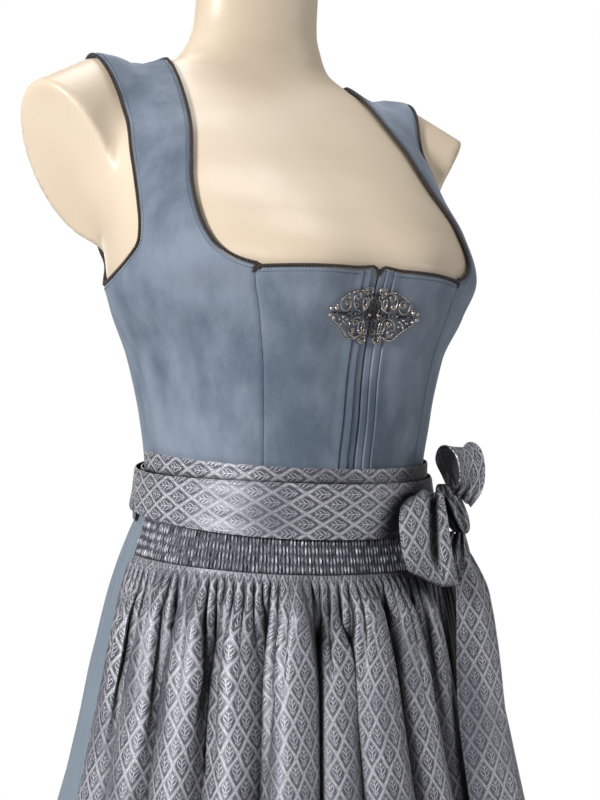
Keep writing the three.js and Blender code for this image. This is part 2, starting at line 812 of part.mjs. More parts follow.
function back() {
  const strapColumns = 3;
  const strapShare = 0.2;
  const bands = BODICE_BANDS + ROOT_BANDS;
  const armRoot = (v) => backArmEdge(THREE.MathUtils.lerp(1, ROOT_SHARE_ARM, v));
  const neckRoot = backNeckEdge(ROOT_SHARE_NECK);
  const split = BODICE_BANDS / bands;
  const right = (v) => (v <= split ? backPrincessEdge(v / split) : armRoot((v - split) / (1 - split)));
  const left = (v) => mirrored(right(v), -1);
  const bottom = (u) => {
    const reach = Math.atan2(right(0).x, right(0).y - AXIS_Y);
    const angle = 180 - (THREE.MathUtils.lerp(-reach, reach, u) * 180) / Math.PI;
    return around(figureField, angle, 0, figureRing);
  };
  const top = (u) => {
    const half = Math.abs(2 * u - 1);
    const side = u < 0.5 ? -1 : 1;
    const strapStart = 1 - 2 * strapShare;
    if (half <= strapStart) {
      return mirrored(backNeckEdge(THREE.MathUtils.lerp(1, ROOT_SHARE_NECK, half / strapStart)), side);
    }
    return mirrored(between(neckRoot, armRoot(1), (half - strapStart) / (1 - strapStart)), side);
  };
  const strap = sharesOf(strapColumns).map((t) => t * strapShare);
  const neck = stepsBetween(strapShare, 1 - strapShare, NECK_COLUMNS);
  const shares = [...strap, ...neck.slice(1, -1), ...strap.map((t) => 1 - t).reverse()];
  const points = patch(bottom, top, left, right, bands, shares.map(insideSeams(BACK_WIDTH)));
  for (let i = STRAP_BANDS - 1; i >= 0; i -= 1) {
    const inner = backNeckEdge(backNeckShares[i]);
    const outer = backArmEdge(backArmShares[i]);
    points.push(shares.map((u, j) => {
      const fromEdge = Math.min(j, shares.length - 1 - j);
      const share = Math.min(fromEdge / strapColumns, 1);
      return mirrored(between(outer, inner, share), u < 0.5 ? -1 : 1);
    }));
  }
  const last = shares.length - 1;
  const keep = (i, j) => i < bands || j < strapColumns || j >= last - strapColumns;
  return wall(points, normalsOf(points, figureField), ...LAYER.bodice, keep);
}

const ZIP_TOP = 152;

function zipTape() {
  const halfWidth = 8;
  const points = grid(BODICE_BANDS, 4, (v, u) => {
    const x = THREE.MathUtils.lerp(-halfWidth, halfWidth, u);
    return onFront(x, v * ZIP_TOP);
  });
  return wall(points, normalsOf(points, figureField), ...LAYER.zipTape);
}

// A run of braid beside an edge: the points lie just past the cloth, half way through its wall.
function braid(points, away, closed) {
  const middle = (LAYER.bodice[0] + LAYER.bodice[1]) / 2;
  const normals = points.map((p) => normalAt(figureField, p));
  const count = points.length;
  const beside = points.map((p, i) => {
    const before = points[closed ? (i + count - 1) % count : Math.max(i - 1, 0)];
    const after = points[closed ? (i + 1) % count : Math.min(i + 1, count - 1)];
    const across = new THREE.Vector3().crossVectors(after.clone().sub(before), normals[i]).normalize();
    const reach = away * (BRAID.radius + BRAID.gap);
    return p.clone().addScaledVector(normals[i], middle).addScaledVector(across, reach);
  });
  return cord(beside, normals, BRAID.radius, BRAID.sides, closed);
}

function neckBraid() {
  const top = [2.4, 5.5, 12, 24, 42, 60, 80].map((x) => onFront(x, topZ(x)));
  const half = [...top, ...neckShares.map(neckEdge), ...backNeckShares.map(backNeckEdge)];
  const other = half.slice(0, -1).map((p) => mirrored(p, -1)).reverse();
  return braid([...half, ...other], -1, false);
}

function armBraid(side) {
  const loop = [
    ...armShares.map(armEdge),
    ...backArmShares.map(backArmEdge),
    ...sharesOf(UNDERARM_COLUMNS).slice(1, -1).map(underarmEdge),
  ];
  return braid(loop.map((p) => mirrored(p, side)), side, true);
}

// ---------------------------------------------------------------- clasp

// One half of the clasp: half of a scalloped lozenge, pierced by round and leaf-shaped openings.
function claspHalf(side) {
  const shape = new THREE.Shape();
  shape.setFromPoints(CLASP_OUTLINE.map((row) => new THREE.Vector2(row.x, row.z)));
  shape.closePath();
  for (const hole of CLASP_HOLES) {
    const path = new THREE.Path();
    path.absellipse(hole.x, hole.z, hole.rx, hole.rz, 0, 2 * Math.PI, true, degrees(hole.turn));
    shape.holes.push(path);
  }
  const flat = new THREE.ExtrudeGeometry(shape, {
    depth: LAYER.clasp[1] - LAYER.clasp[0],
    steps: 1,
    curveSegments: 4,
    bevelEnabled: false,
  });
  flat.deleteAttribute('normal');
  flat.deleteAttribute('uv');
  const geometry = mergeVertices(flat, 1e-3);
  const position = geometry.attributes.position;
  for (let i = 0; i < position.count; i += 1) {
    const x = side * (position.getX(i) + CLASP.split / 2);
    const base = onFront(x, CLASP.z + position.getY(i));
    const normal = normalAt(figureField, base);
    base.addScaledVector(normal, LAYER.clasp[0] + position.getZ(i));
    position.setXYZ(i, base.x, base.y, base.z);
  }
  if (side < 0) {
    const index = geometry.index;
    for (let i = 0; i < index.count; i += 3) {
      const b = index.getX(i + 1);
      index.setX(i + 1, index.getX(i + 2));
      index.setX(i + 2, b);
    }
  }
  geometry.computeVertexNormals();
  return geometry;
}

// ---------------------------------------------------------------- skirt

const hangPoint = (angle, z) => around(hangField, angle, z, hangRing);

// The level way out from the hanging surface.
function levelNormal(p) {
  const n = gradient(hangField, p);
  n.z = 0;
  return n.normalize();
}

const fromFront = (angle) => Math.abs(((angle + 540) % 360) - 180);

// How far the skirt's folds stand out, and the line that just covers them.
function foldReach(angle, z) {
  const depth = THREE.MathUtils.lerp(SKIRT_FOLDS.depthWaist, SKIRT_FOLDS.depthHem, -z / SKIRT_LENGTH);
  const shown = THREE.MathUtils.lerp(SKIRT_FOLDS.underApron, 1, smooth(66, 104, fromFront(angle)));
  return depth * shown * smooth(26, 100, -z);
}

function skirtFold(angle, z) {
  const wander = 14 * Math.sin(degrees(2 * angle + 40)) + 9 * Math.sin(degrees(5 * angle));
  const wave = 0.5 + 0.5 * Math.cos(degrees(SKIRT_FOLDS.count * angle + wander));
  return foldReach(angle, z) * wave;
}

function skirtPanel(from, to, columns) {
  const points = [];
  const normals = [];
  for (const z of SKIRT_ROWS) {
    const seam = (SEAM / 2 / hangRing(z).half) * (180 / Math.PI);
    const angles = sharesOf(columns).map((u) => THREE.MathUtils.lerp(from + seam, to - seam, u));
    const row = angles.map((angle) => hangPoint(angle, z));
    normals.push(row.map(levelNormal));
    points.push(row.map((p, j) => p.clone().addScaledVector(levelNormal(p), skirtFold(angles[j], z))));
  }
  return wall(points, normals, ...LAYER.skirt);
}

// ---------------------------------------------------------------- apron

const riseBehind = (angle) => RISE_BEHIND * Math.sin(degrees(angle) / 2) ** 2;

// A band round the waist, straight from its top edge to its bottom edge.
function bandPoint(angle, v, top, bottom) {
  const high = hangPoint(angle, top + riseBehind(angle));
  const low = hangPoint(angle, bottom + riseBehind(angle));
  return { p: high.lerp(low, v), n: levelNormal(high) };
}

function band(from, to, columns, top, bottom, layer, ends = () => 1) {
  const steps = [0, 0.5, 1];
  const made = sharesOf(columns).map((u) => {
    const angle = THREE.MathUtils.lerp(from, to, u);
    const half = ((top - bottom) / 2) * ends(u);
    const middle = (top + bottom) / 2;
    return steps.map((v) => bandPoint(angle, v, middle + half, middle - half));
  });
  const points = steps.map((_, i) => made.map((column) => column[i].p));
  const normals = steps.map((_, i) => made.map((column) => column[i].n));
  return wall(points, normals, ...layer);
}

function smockedBand() {
  const columns = 2 * SMOCK.ribs;
  const bands = 2 * SMOCK.puffs;
  const place = (u, v, out) => {
    const angle = THREE.MathUtils.lerp(-SMOCK.reach, SMOCK.reach, u);
    const { p, n } = bandPoint(angle, v, SMOCK.top, SMOCK.bottom);
    return p.addScaledVector(n, out);
  };
  const outer = grid(bands, columns, (v, u, i, j) => {
    const rib = j % 2 === 1 ? 1 : 0.1;
    const puff = i % 2 === 1 ? 1 : 0.25;
    return place(u, v, LAYER.smocking[1] + SMOCK_RIB * rib * puff);
  });
  const inner = [0, 1].map((v) => sharesOf(columns).map((u) => place(u, v, LAYER.smocking[0])));
  return reliefWall(outer, inner);
}

// How far the apron stands out: over the skirt's folds, then its own gathers and long folds.
function apronReach(angle, z) {
  const from = SMOCK.bottom + riseBehind(angle) - 1;
  const fall = THREE.MathUtils.clamp((from - z) / (from + APRON_LENGTH), 0, 1);
  const gather = 0.5 + 0.5 * Math.cos(degrees((angle * 360 * APRON.gathers) / (2 * SMOCK.reach)));
  let reach = foldReach(angle, z) + 2.2 * gather * smooth(0, 0.02, fall) * (1 - smooth(0.06, 0.2, fall));
  for (const fold of APRON_FOLDS) {
    const centre = THREE.MathUtils.lerp(fold.top, fold.hem, fall);
    const half = fold.half * (1 + 0.5 * fall);
    const t = (angle - centre) / half;
    const ridge = Math.exp(-t * t) * smooth(0, 40, fold.from - z);
    reach += fold.depth * ridge * (0.5 + 0.9 * fall);
  }
  return reach;
}

function apronSkirt() {
  const points = [];
  const normals = [];
  for (let i = 0; i <= APRON.bands; i += 1) {
    const t = (i / APRON.bands) ** 1.5;
    const angles = sharesOf(APRON.columns).map((u) => THREE.MathUtils.lerp(-APRON.reach, APRON.reach, u));
    const row = angles.map((angle) => {
      const z = THREE.MathUtils.lerp(SMOCK.bottom + riseBehind(angle) - SEAM, -APRON_LENGTH, t);
      const p = hangPoint(angle, z);
      return p.addScaledVector(levelNormal(p), apronReach(angle, z));
    });
    points.push(row);
    normals.push(row.map(levelNormal));
  }
  return wall(points, normals, ...LAYER.apron);
}

// ---------------------------------------------------------------- bow

const knotCentre = new THREE.Vector3(KNOT.x, KNOT.y, KNOT.z);
const bowRight = new THREE.Vector3(Math.cos(degrees(BOW_TURN)), Math.sin(degrees(BOW_TURN)), 0);
const bowFront = new THREE.Vector3(Math.sin(degrees(BOW_TURN)), -Math.cos(degrees(BOW_TURN)), 0);

function bowPoint(right, up, front) {
  return knotCentre.clone().addScaledVector(bowRight, right).addScaledVector(bowFront, front)
    .add(new THREE.Vector3(0, 0, up));
}

// The knot: the tie wrapped once round itself, a little pinched at its waist and leaning.
function knot() {
  const solid = new Solid();
  const rings = 9;
  const sides = 12;
  const loops = Array.from({ length: rings }, (_, i) => {
    const a = (Math.PI * (i + 1)) / (rings + 1);
    return Array.from({ length: sides }, (__, k) => {
      const b = (2 * Math.PI * k) / sides;
      const wrap = 1 + 0.07 * Math.cos(3 * a + 2 * b);
      const out = Math.sin(a) ** 0.7 * wrap;
      const right = KNOT.lean * Math.cos(a) + KNOT.rx * out * Math.cos(b);
      const front = KNOT.ry * out * Math.sin(b);
      return solid.point(bowPoint(right, KNOT.rz * Math.cos(a), front));
    });
  });
  for (let i = 0; i < rings - 1; i += 1) {
    for (let k = 0; k < sides; k += 1) {
      const n = (k + 1) % sides;
      solid.quad(loops[i][k], loops[i][n], loops[i + 1][n], loops[i + 1][k]);
    }
  }
  solid.fan([...loops[0]].reverse(), bowPoint(KNOT.lean, KNOT.rz, 0));
  solid.fan([...loops[rings - 1]], bowPoint(-KNOT.lean, -KNOT.rz, 0));
  return solid.geometry();
}

function bowLoop(rows) {
  const curve = new THREE.CatmullRomCurve3(rows.map((row) => bowPoint(row.right, row.up, row.front)));
  const stations = rows.map((row, i) => ({ ...row, share: i / (rows.length - 1) }));
  const along = profile(stations, 'share', ['width', 'swing', 'tilt']);
  const shares = sharesOf(BOW_STEPS);
  const across = shares.map((t) => {
    const swing = degrees(along(t).swing);
    const tilt = degrees(along(t).tilt);
    return bowRight.clone().multiplyScalar(Math.cos(swing) * Math.cos(tilt))
      .addScaledVector(bowFront, Math.sin(swing) * Math.cos(tilt))
      .add(new THREE.Vector3(0, 0, Math.sin(tilt)));
  });
  return ribbon(shares.map((t) => curve.getPoint(t)), across, (t) => along(t).width, RIBBON_WALL);
}

function tail(rows) {
  const along = profile(rows, 'z', ['angle', 'out', 'width', 'turn']);
  const points = [];
  const normals = [];
  for (const z of stepsBetween(rows[0].z, rows[rows.length - 1].z, TAIL_BANDS)) {
    const { angle, out, width, turn } = along(z);
    const middle = hangPoint(angle, z);
    const up = new THREE.Vector3(0, 0, 1);
    const away = levelNormal(middle);
    const n = away.clone().applyAxisAngle(up, -degrees(turn));
    const side = up.cross(n);
    points.push([-0.5, -0.17, 0.17, 0.5].map((s) => middle.clone()
      .addScaledVector(away, out)
      .addScaledVector(n, TAIL_CROWN * Math.cos(3 * s))
      .addScaledVector(side, s * width)));
    normals.push(Array(4).fill(n));
  }
  return wall(points, normals, -RIBBON_WALL / 2, RIBBON_WALL / 2);
}

// ---------------------------------------------------------------- dress form

const wasm = await Module();
wasm.setup();

function toManifold(geometry) {
  const bare = geometry.clone();
  bare.deleteAttribute('normal');
  const merged = mergeVertices(bare, 1e-4);
  return new wasm.Manifold(new wasm.Mesh({
    numProp: 3,
    vertProperties: Float32Array.from(merged.attributes.position.array),
    triVerts: Uint32Array.from(merged.index.array),
  }));
}

function fromManifold(solid) {
  const mesh = solid.getMesh();
  const geometry = new THREE.BufferGeometry();
  geometry.setAttribute('position', new THREE.BufferAttribute(Float32Array.from(mesh.vertProperties), 3));
  geometry.setIndex(Array.from(mesh.triVerts));
  geometry.computeVertexNormals();
  return geometry;
}

// A closed stack of rings, with a flat fan at each end.
function stack(rings) {
  const solid = new Solid();
  const loops = rings.map((ring) => ring.map((p) => solid.point(p)));
  for (let i = 0; i < loops.length - 1; i += 1) {
    loops[i].forEach((v, k) => {
      const n = (k + 1) % loops[i].length;
      solid.quad(v, loops[i][n], loops[i + 1][n], loops[i + 1][k]);
    });
  }
  const centre = (ring) => ring.reduce((sum, p) => sum.add(p), new THREE.Vector3())
    .multiplyScalar(1 / ring.length);
  solid.fan([...loops[0]].reverse(), centre(rings[0]));
  solid.fan([...loops[loops.length - 1]], centre(rings[rings.length - 1]));
  return solid.geometry();
}

function torso() {
  const rings = FORM_RINGS.map(({ z, inset }) => {
    const angles = Array.from({ length: FORM_COLUMNS }, (_, k) => (360 * (k + 0.5)) / FORM_COLUMNS);
    return angles.map((angle) => {
      const p = around(torsoField, angle, z, figureRing);
      const n = gradient(torsoField, p);
      n.z = 0;
      return p.addScaledVector(n.normalize(), -inset);
    });
  });
  return stack(rings);
}

function stub(side) {
  const root = new THREE.Vector3(...STUB.root);
  const steps = [[-56, 0.3], [-44, 0.62], [-26, 0.88], [0, 1], [STUB.length - FORM_INSET, 1]];
  const rings = steps.map(([along, share]) => sharesOf(20).slice(0, -1).map((t) => {
    const a = 2 * Math.PI * t;
    const p = root.clone().addScaledVector(stubAxis, along);
    p.addScaledVector(stubUp, (STUB.halfHeight * share - FORM_INSET) * Math.cos(a));
    p.addScaledVector(stubSide, (STUB.halfDepth * share - FORM_INSET) * Math.sin(a));
    return mirrored(p, side);
  }));
  return stack(rings);
}

function form() {
  const body = toManifold(torso());
  return fromManifold(body.add(toManifold(stub(1))).add(toManifold(stub(-1))));
}

function turned(rows, sides) {
  const profilePoints = rows.map((row) => new THREE.Vector2(row.r, row.z));
  const geometry = new THREE.LatheGeometry(profilePoints, sides);
  geometry.rotateX(Math.PI / 2);
  geometry.deleteAttribute('uv');
  geometry.deleteAttribute('normal');
  const merged = mergeVertices(geometry, 1e-3);
  merged.translate(0, PLUMB_Y, -WAIST_Z);
  merged.computeVertexNormals();
  return merged;
}

// ---------------------------------------------------------------- the whole part

for (const [name, side] of SIDES) {
  add(`front_centre_${name}`, frontCentre(side), 'velvet');
  add(`front_side_${name}`, frontSide(side), 'velvet');
  add(`side_back_${name}`, sideBack(side), 'velvet');
  add(`armhole_braid_${name}`, armBraid(side), 'braid');
  add(`clasp_${name}`, claspHalf(side), 'clasp');
}
add('back', back(), 'velvet');
add('neck_braid', neckBraid(), 'braid');
add('zip_tape', zipTape(), 'braid');

add('skirt_front', skirtPanel(-50, 50, 14), 'twill');
add('skirt_left', skirtPanel(50, 130, 20), 'twill');
add('skirt_back', skirtPanel(130, 230, 25), 'twill');
add('skirt_right', skirtPanel(-130, -50, 20), 'twill');

add('apron_waistband', band(-WAISTBAND.reach, WAISTBAND.reach, 32, WAISTBAND.top, WAISTBAND.bottom,
  LAYER.waistband), 'jacquard');
add('apron_smocking', smockedBand(), 'jacquard');
add('apron_skirt', apronSkirt(), 'jacquard');
add('tie_front', band(-98, 46, 28, TIE.top, TIE.bottom, LAYER.tie,
  (u) => 1 - TIE.narrowing * smooth(0.5, 1, 1 - u)), 'jacquard');
add('tie_back', band(46.3, 261.7, 36, TIE.top, TIE.bottom, LAYER.tie,
  (u) => 1 - TIE.narrowing * smooth(0.5, 1, u)), 'jacquard');
add('tie_under', band(98.5, 261.5, 28, TIE.top - TIE_UNDER_DROP,
  TIE.bottom - TIE_UNDER_DROP, LAYER.tieUnder), 'jacquard');
add('bow_knot', knot(), 'jacquard');
add('bow_loop_upper', bowLoop(UPPER_LOOP), 'jacquard');
add('bow_loop_lower', bowLoop(LOWER_LOOP), 'jacquard');
add('bow_tail_front', tail(FRONT_TAIL), 'jacquard');
add('bow_tail_side', tail(SIDE_TAIL), 'jacquard');

add('form_torso', form(), 'form');
add('form_stand', turned(STAND_PROFILE, STAND_SIDES), 'steel');

export default garment;
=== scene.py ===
"""Looks of a velvet dirndl with a jacquard apron, worn by a limbless dress form.

Sizes are millimetres in the garment's own axes: heights from the waist seam, the wearer facing
-Y and the wearer's left at +X. Meshes are put into the part's frame, in metres, as they are made.
"""

import logging
import math
from dataclasses import dataclass, field
from enum import Enum
from typing import Callable, Iterable, Optional, Sequence

import bmesh
import bpy
import numpy as np
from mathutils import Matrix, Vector


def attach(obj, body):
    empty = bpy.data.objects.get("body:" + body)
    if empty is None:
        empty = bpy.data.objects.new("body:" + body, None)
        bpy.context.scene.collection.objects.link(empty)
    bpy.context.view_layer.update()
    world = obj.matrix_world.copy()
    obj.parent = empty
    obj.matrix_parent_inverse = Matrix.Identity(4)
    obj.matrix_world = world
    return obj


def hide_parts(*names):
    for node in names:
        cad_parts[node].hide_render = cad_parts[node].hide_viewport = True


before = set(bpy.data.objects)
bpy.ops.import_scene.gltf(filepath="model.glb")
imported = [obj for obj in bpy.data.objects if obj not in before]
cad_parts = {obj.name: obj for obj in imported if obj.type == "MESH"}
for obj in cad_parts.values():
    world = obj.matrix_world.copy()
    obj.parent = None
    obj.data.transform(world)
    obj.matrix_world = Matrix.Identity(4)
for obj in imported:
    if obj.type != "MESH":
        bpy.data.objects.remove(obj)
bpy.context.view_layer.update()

log = logging.getLogger("dirndl")

Array = np.ndarray
Piece = bpy.types.Object
Material = bpy.types.Material
Tree = bpy.types.NodeTree
Socket = bpy.types.NodeSocket
Line = Callable[[Array], Array]
Rows = Sequence[Sequence[float]]

WAIST_Z = 1050.0
PLUMB_Y = 16.0
SKIRT_LENGTH = 700.0
APRON_LENGTH = 672.0
SEAM = 0.3
AXIS_Y = 12.0


class Slot(Enum):
    """Names of the material slots."""

    VELVET = "velvet"
    BRAID = "braid"
    TWILL = "twill"
    JACQUARD = "jacquard"
    CLASP = "clasp"
    FORM = "form"
    STEEL = "steel"


class Side(Enum):
    """The wearer's sides, as a sign of X."""

    LEFT = 1
    RIGHT = -1

    @property
    def word(self) -> str:
        """The side's name as the nodes spell it."""
        return self.name.lower()


# Distances from the figure to the inner and outer face of each layer of cloth.
LAYER = {
    "zip": (-0.4, 0.5), "bodice": (1.6, 3.4), "skirt": (1.6, 3.0), "waistband": (5.3, 6.6),
    "smocking": (4.0, 5.3), "tie": (9.9, 11.1), "tie_under": (5.7, 6.9), "apron": (4.2, 5.4),
}


# ---- tables and curves


def table(columns: str, rows: Rows) -> dict[str, Array]:
    """Reads rows of numbers under named columns.

    Args:
        columns: The column names, parted by spaces.
        rows: One row of numbers for each section.

    Returns:
        Each column's numbers, by its name.
    """
    values = np.array(rows, float)
    return {name: values[:, k] for k, name in enumerate(columns.split())}


def monotone(xs: Array, ys: Array, at: Array) -> Array:
    """Monotone cubic interpolation.

    Args:
        xs: Rising or falling stations.
        ys: Values at the stations.
        at: Where the values are wanted; clamped to the stations.

    Returns:
        The interpolated values.
    """
    order = np.argsort(xs)
    xs, ys = xs[order], ys[order]
    secant = np.diff(ys) / np.diff(xs)
    slope = np.zeros_like(ys)
    slope[0], slope[-1] = secant[0], secant[-1]
    both = secant[:-1] * secant[1:]
    total = np.where(both > 0, secant[:-1] + secant[1:], 1.0)
    slope[1:-1] = np.where(both > 0, 2 * both / total, 0.0)
    x = np.clip(at, xs[0], xs[-1])
    i = np.clip(np.searchsorted(xs, x, "right") - 1, 0, len(xs) - 2)
    h = xs[i + 1] - xs[i]
    t = (x - xs[i]) / h
    return (
        ys[i] * (1 + 2 * t) * (1 - t) ** 2
        + slope[i] * h * t * (1 - t) ** 2
        + ys[i + 1] * t * t * (3 - 2 * t)
        + slope[i + 1] * h * t * t * (t - 1)
    )


def smooth(low: float, high: float, x: Array) -> Array:
    """A soft step from 0 at low to 1 at high."""
    t = np.clip((x - low) / (high - low), 0, 1)
    return t * t * (3 - 2 * t)


def bell(x: Array, width: float | Array) -> Array:
    """A round bump: 1 at 0, and gone at about twice its width."""
    return np.exp(-((x / width) ** 2))


def lerp(a, b, t):
    """The value a share t of the way from a to b."""
    return a + (b - a) * t


def unit(v: Array) -> Array:
    """Vectors scaled to length 1."""
    return v / np.maximum(np.linalg.norm(v, axis=-1, keepdims=True), 1e-9)


def clustered(count: int, width: float, near: Sequence[float] = (0.5, 1.3, 2.4, 4.0)) -> Array:
    """Shares across a panel that lie closer together at its two edges.

    Args:
        count: Steps across the middle.
        width: The panel's width in millimetres.
        near: Distances from each edge that get a column.

    Returns:
        Rising shares from 0 to 1.
    """
    edge = np.array([0.0, *near]) / width
    middle = np.linspace(edge[-1], 1 - edge[-1], count + 1)[1:-1]
    return np.concatenate([edge, middle, 1 - edge[::-1]])


# ---- the surfaces cloth lies on

FIGURE_ROWS = [
    (-260, 142, 90, 124, 2.1), (-215, 159, 94, 136, 2.15), (-150, 156, 98, 138, 2.15),
    (-100, 142, 100.5, 136, 2.1), (-50, 126, 101.5, 131, 2.05), (0, 117.5, 100.5, 128.5, 2.05),
    (50, 124, 106.5, 131, 2.05), (100, 138, 104, 123, 2.05), (140, 158, 112, 114.5, 2.05),
    (170, 166, 127.5, 120.5, 2.1), (210, 164, 104, 133, 2.3), (250, 162, 66, 143, 2.4),
    (285, 162, 37, 146, 2.4), (305, 158, 19, 143, 2.3), (322, 154, 2, 138, 2.25), (338, 145, -14, 131, 2.2),
    (352, 126, -27, 124, 2.15), (364, 101, -34, 118, 2.1), (376, 79, -34, 118, 2.05),
    (392, 68, -31, 115, 2.0), (412, 62, -30, 113, 2.0), (470, 59.5, -19, 107, 2.0),
]
HANG_ROWS = [
    (20, 120, 103, 127, 2.05), (0, 117.5, 100.5, 128.5, 2.05), (-20, 120.5, 101.5, 131, 2.05),
    (-36, 124.5, 104, 133, 2.05), (-50, 130.5, 107, 136, 2.05), (-74, 139.5, 112, 142, 2.05),
    (-100, 146.5, 117, 147, 2.05), (-152, 158.5, 127, 156, 2.05), (-211, 171, 140, 167, 2.0),
    (-270, 183, 153, 180, 2.0), (-500, 230, 203, 229, 2.0), (-700, 268, 245, 269, 2.0),
]


class Surface:
    """A closed upright surface given by a field that is below zero inside it."""

    def __init__(self, rows: Rows) -> None:
        """Reads the ring table: height, half width, depth before and behind, squareness."""
        rings = table("z half front back square", rows)
        self.z = np.arange(rings["z"].min(), rings["z"].max() + 0.5, 0.5)
        self.ring = {
            name: monotone(rings["z"], rings[name], self.z)
            for name in ("half", "front", "back", "square")
        }

    def at(self, z: Array) -> tuple[Array, ...]:
        """The ring's half width, front depth, back depth and squareness at heights."""
        return tuple(np.interp(z, self.z, self.ring[n]) for n in ("half", "front", "back", "square"))

    def ring_field(self, p: Array, bump: Array | float = 0.0) -> Array:
        """The field of the rings alone, with the front pushed out by bump.

        Args:
            p: Points in garment millimetres.
            bump: How far the front is pushed out at each.

        Returns:
            The field's value at each point.
        """
        half, front, back, square = self.at(p[..., 2])
        centre = (back - front) / 2
        depth = (back + front) / 2 + np.where(p[..., 1] < centre, bump, 0.0)
        a = np.abs(p[..., 0]) / half
        b = np.abs(p[..., 1] - centre) / depth
        return (a**square + b**square) ** (1 / square) - 1

    def field(self, p: Array) -> Array:
        """Below zero inside the surface, and zero on it."""
        return self.ring_field(p)

    def gradient(self, p: Array) -> Array:
        """The field's slope at points."""
        step = 0.4
        parts = []
        for axis in range(3):
            q = np.zeros(3)
            q[axis] = step
            parts.append((self.field(p + q) - self.field(p - q)) / (2 * step))
        return np.stack(parts, -1)

    def normal(self, p: Array) -> Array:
        """The way straight out of the surface."""
        return unit(self.gradient(p))

    def level(self, p: Array) -> Array:
        """The level way out of the surface."""
        g = self.gradient(p)
        g[..., 2] = 0
        return unit(g)

    def settle(self, start: Array, steps: int = 10) -> Array:
        """Moves points along the steepest way until they lie on the surface."""
        p = np.array(start, float)
        for _ in range(steps):
            g = self.gradient(p)
            p = p - g * (self.field(p) / np.sum(g * g, -1))[..., None]
        return p

    def around(self, angle: Array, z: Array) -> Array:
        """The surface's points at angles from the front and heights, seen from its axis.

        Args:
            angle: Degrees from the front, towards the left.
            z: Heights.

        Returns:
            A point for each pair.
        """
        angle, z = np.broadcast_arrays(np.asarray(angle, float), np.asarray(z, float))
        _, front, back, _ = self.at(z)
        origin = np.stack([np.zeros_like(z), (back - front) / 2, z], -1)
        turn = np.radians(angle)
        way = np.stack([np.sin(turn), -np.cos(turn), np.zeros_like(turn)], -1)
        return self.ray(origin, way, 420.0)

    def ray(self, origin: Array, way: Array, reach: float) -> Array:
        """Where rays from inside leave the surface.

        Args:
            origin: Where the rays start.
            way: Their directions.
            reach: How far to look.

        Returns:
            A point for each ray.
        """
        low = np.zeros(origin.shape[:-1])
        high = np.full(origin.shape[:-1], reach)
        for _ in range(28):
            middle = (low + high) / 2
            inside = self.field(origin + way * middle[..., None]) < 0
            low = np.where(inside, middle, low)
            high = np.where(inside, high, middle)
        return origin + way * low[..., None]

    def front(self, x: Array, z: Array) -> Array:
        """The front's points at distances from the centre line and heights."""
        x, z = np.broadcast_arrays(np.asarray(x, float), np.asarray(z, float))
        origin = np.stack([x, np.zeros_like(x), z], -1)
        return self.ray(origin, np.array([0.0, -1.0, 0.0]), 260.0)


class FigureSurface(Surface):
    """The general figure: a torso with its cups, run softly into two shoulder stubs."""

    CUP_RISE, CUP_X, CUP_Z = 24.3, 51.5, 132.0
    CUP_HALF_WIDTH, CUP_HALF_HEIGHT = 53.0, 58.5
    ROOT = np.array([137.0, 80.0, 292.0])
    HALF_HEIGHT, HALF_DEPTH, ROUNDING, LENGTH = 74.0, 50.0, 60.0, 58.0
    STIFFNESS, BLEND = 0.5, 0.14

    def __init__(self) -> None:
        """Sets the stub's axes."""
        super().__init__(FIGURE_ROWS)
        self.axis = unit(np.array([1.0, -0.39, -0.62]))
        self.up = unit(np.array([0.0, 0.0, 1.0]) - self.axis[2] * self.axis)
        self.side = np.cross(self.up, self.axis)

    def torso(self, p: Array) -> Array:
        """The torso's own field."""
        along = (p[..., 2] - self.CUP_Z) / self.CUP_HALF_HEIGHT
        rise = 0.0
        for side in (-1, 1):
            across = (p[..., 0] - side * self.CUP_X) / self.CUP_HALF_WIDTH
            rise = rise + np.exp(-across * across - along * along)
        return self.ring_field(p, self.CUP_RISE * rise)

    def stub(self, p: Array) -> Array:
        """The shoulder stubs' field, without their flat ends."""
        q = np.stack([np.abs(p[..., 0]), p[..., 1], p[..., 2]], -1) - self.ROOT
        along, up, side = q @ self.axis, q @ self.up, q @ self.side
        behind = np.minimum(along, 0) / self.ROUNDING
        oval = np.sqrt((up / self.HALF_HEIGHT) ** 2 + (side / self.HALF_DEPTH) ** 2 + behind**2)
        return (oval - 1) * self.STIFFNESS

    def field(self, p: Array) -> Array:
        """Torso and stubs, blended."""
        a, b = self.torso(p), self.stub(p)
        h = np.clip(0.5 + (a - b) / (2 * self.BLEND), 0, 1)
        return a * (1 - h) + b * h - self.BLEND * h * (1 - h)


FIGURE = FigureSurface()
HANG = Surface(HANG_ROWS)


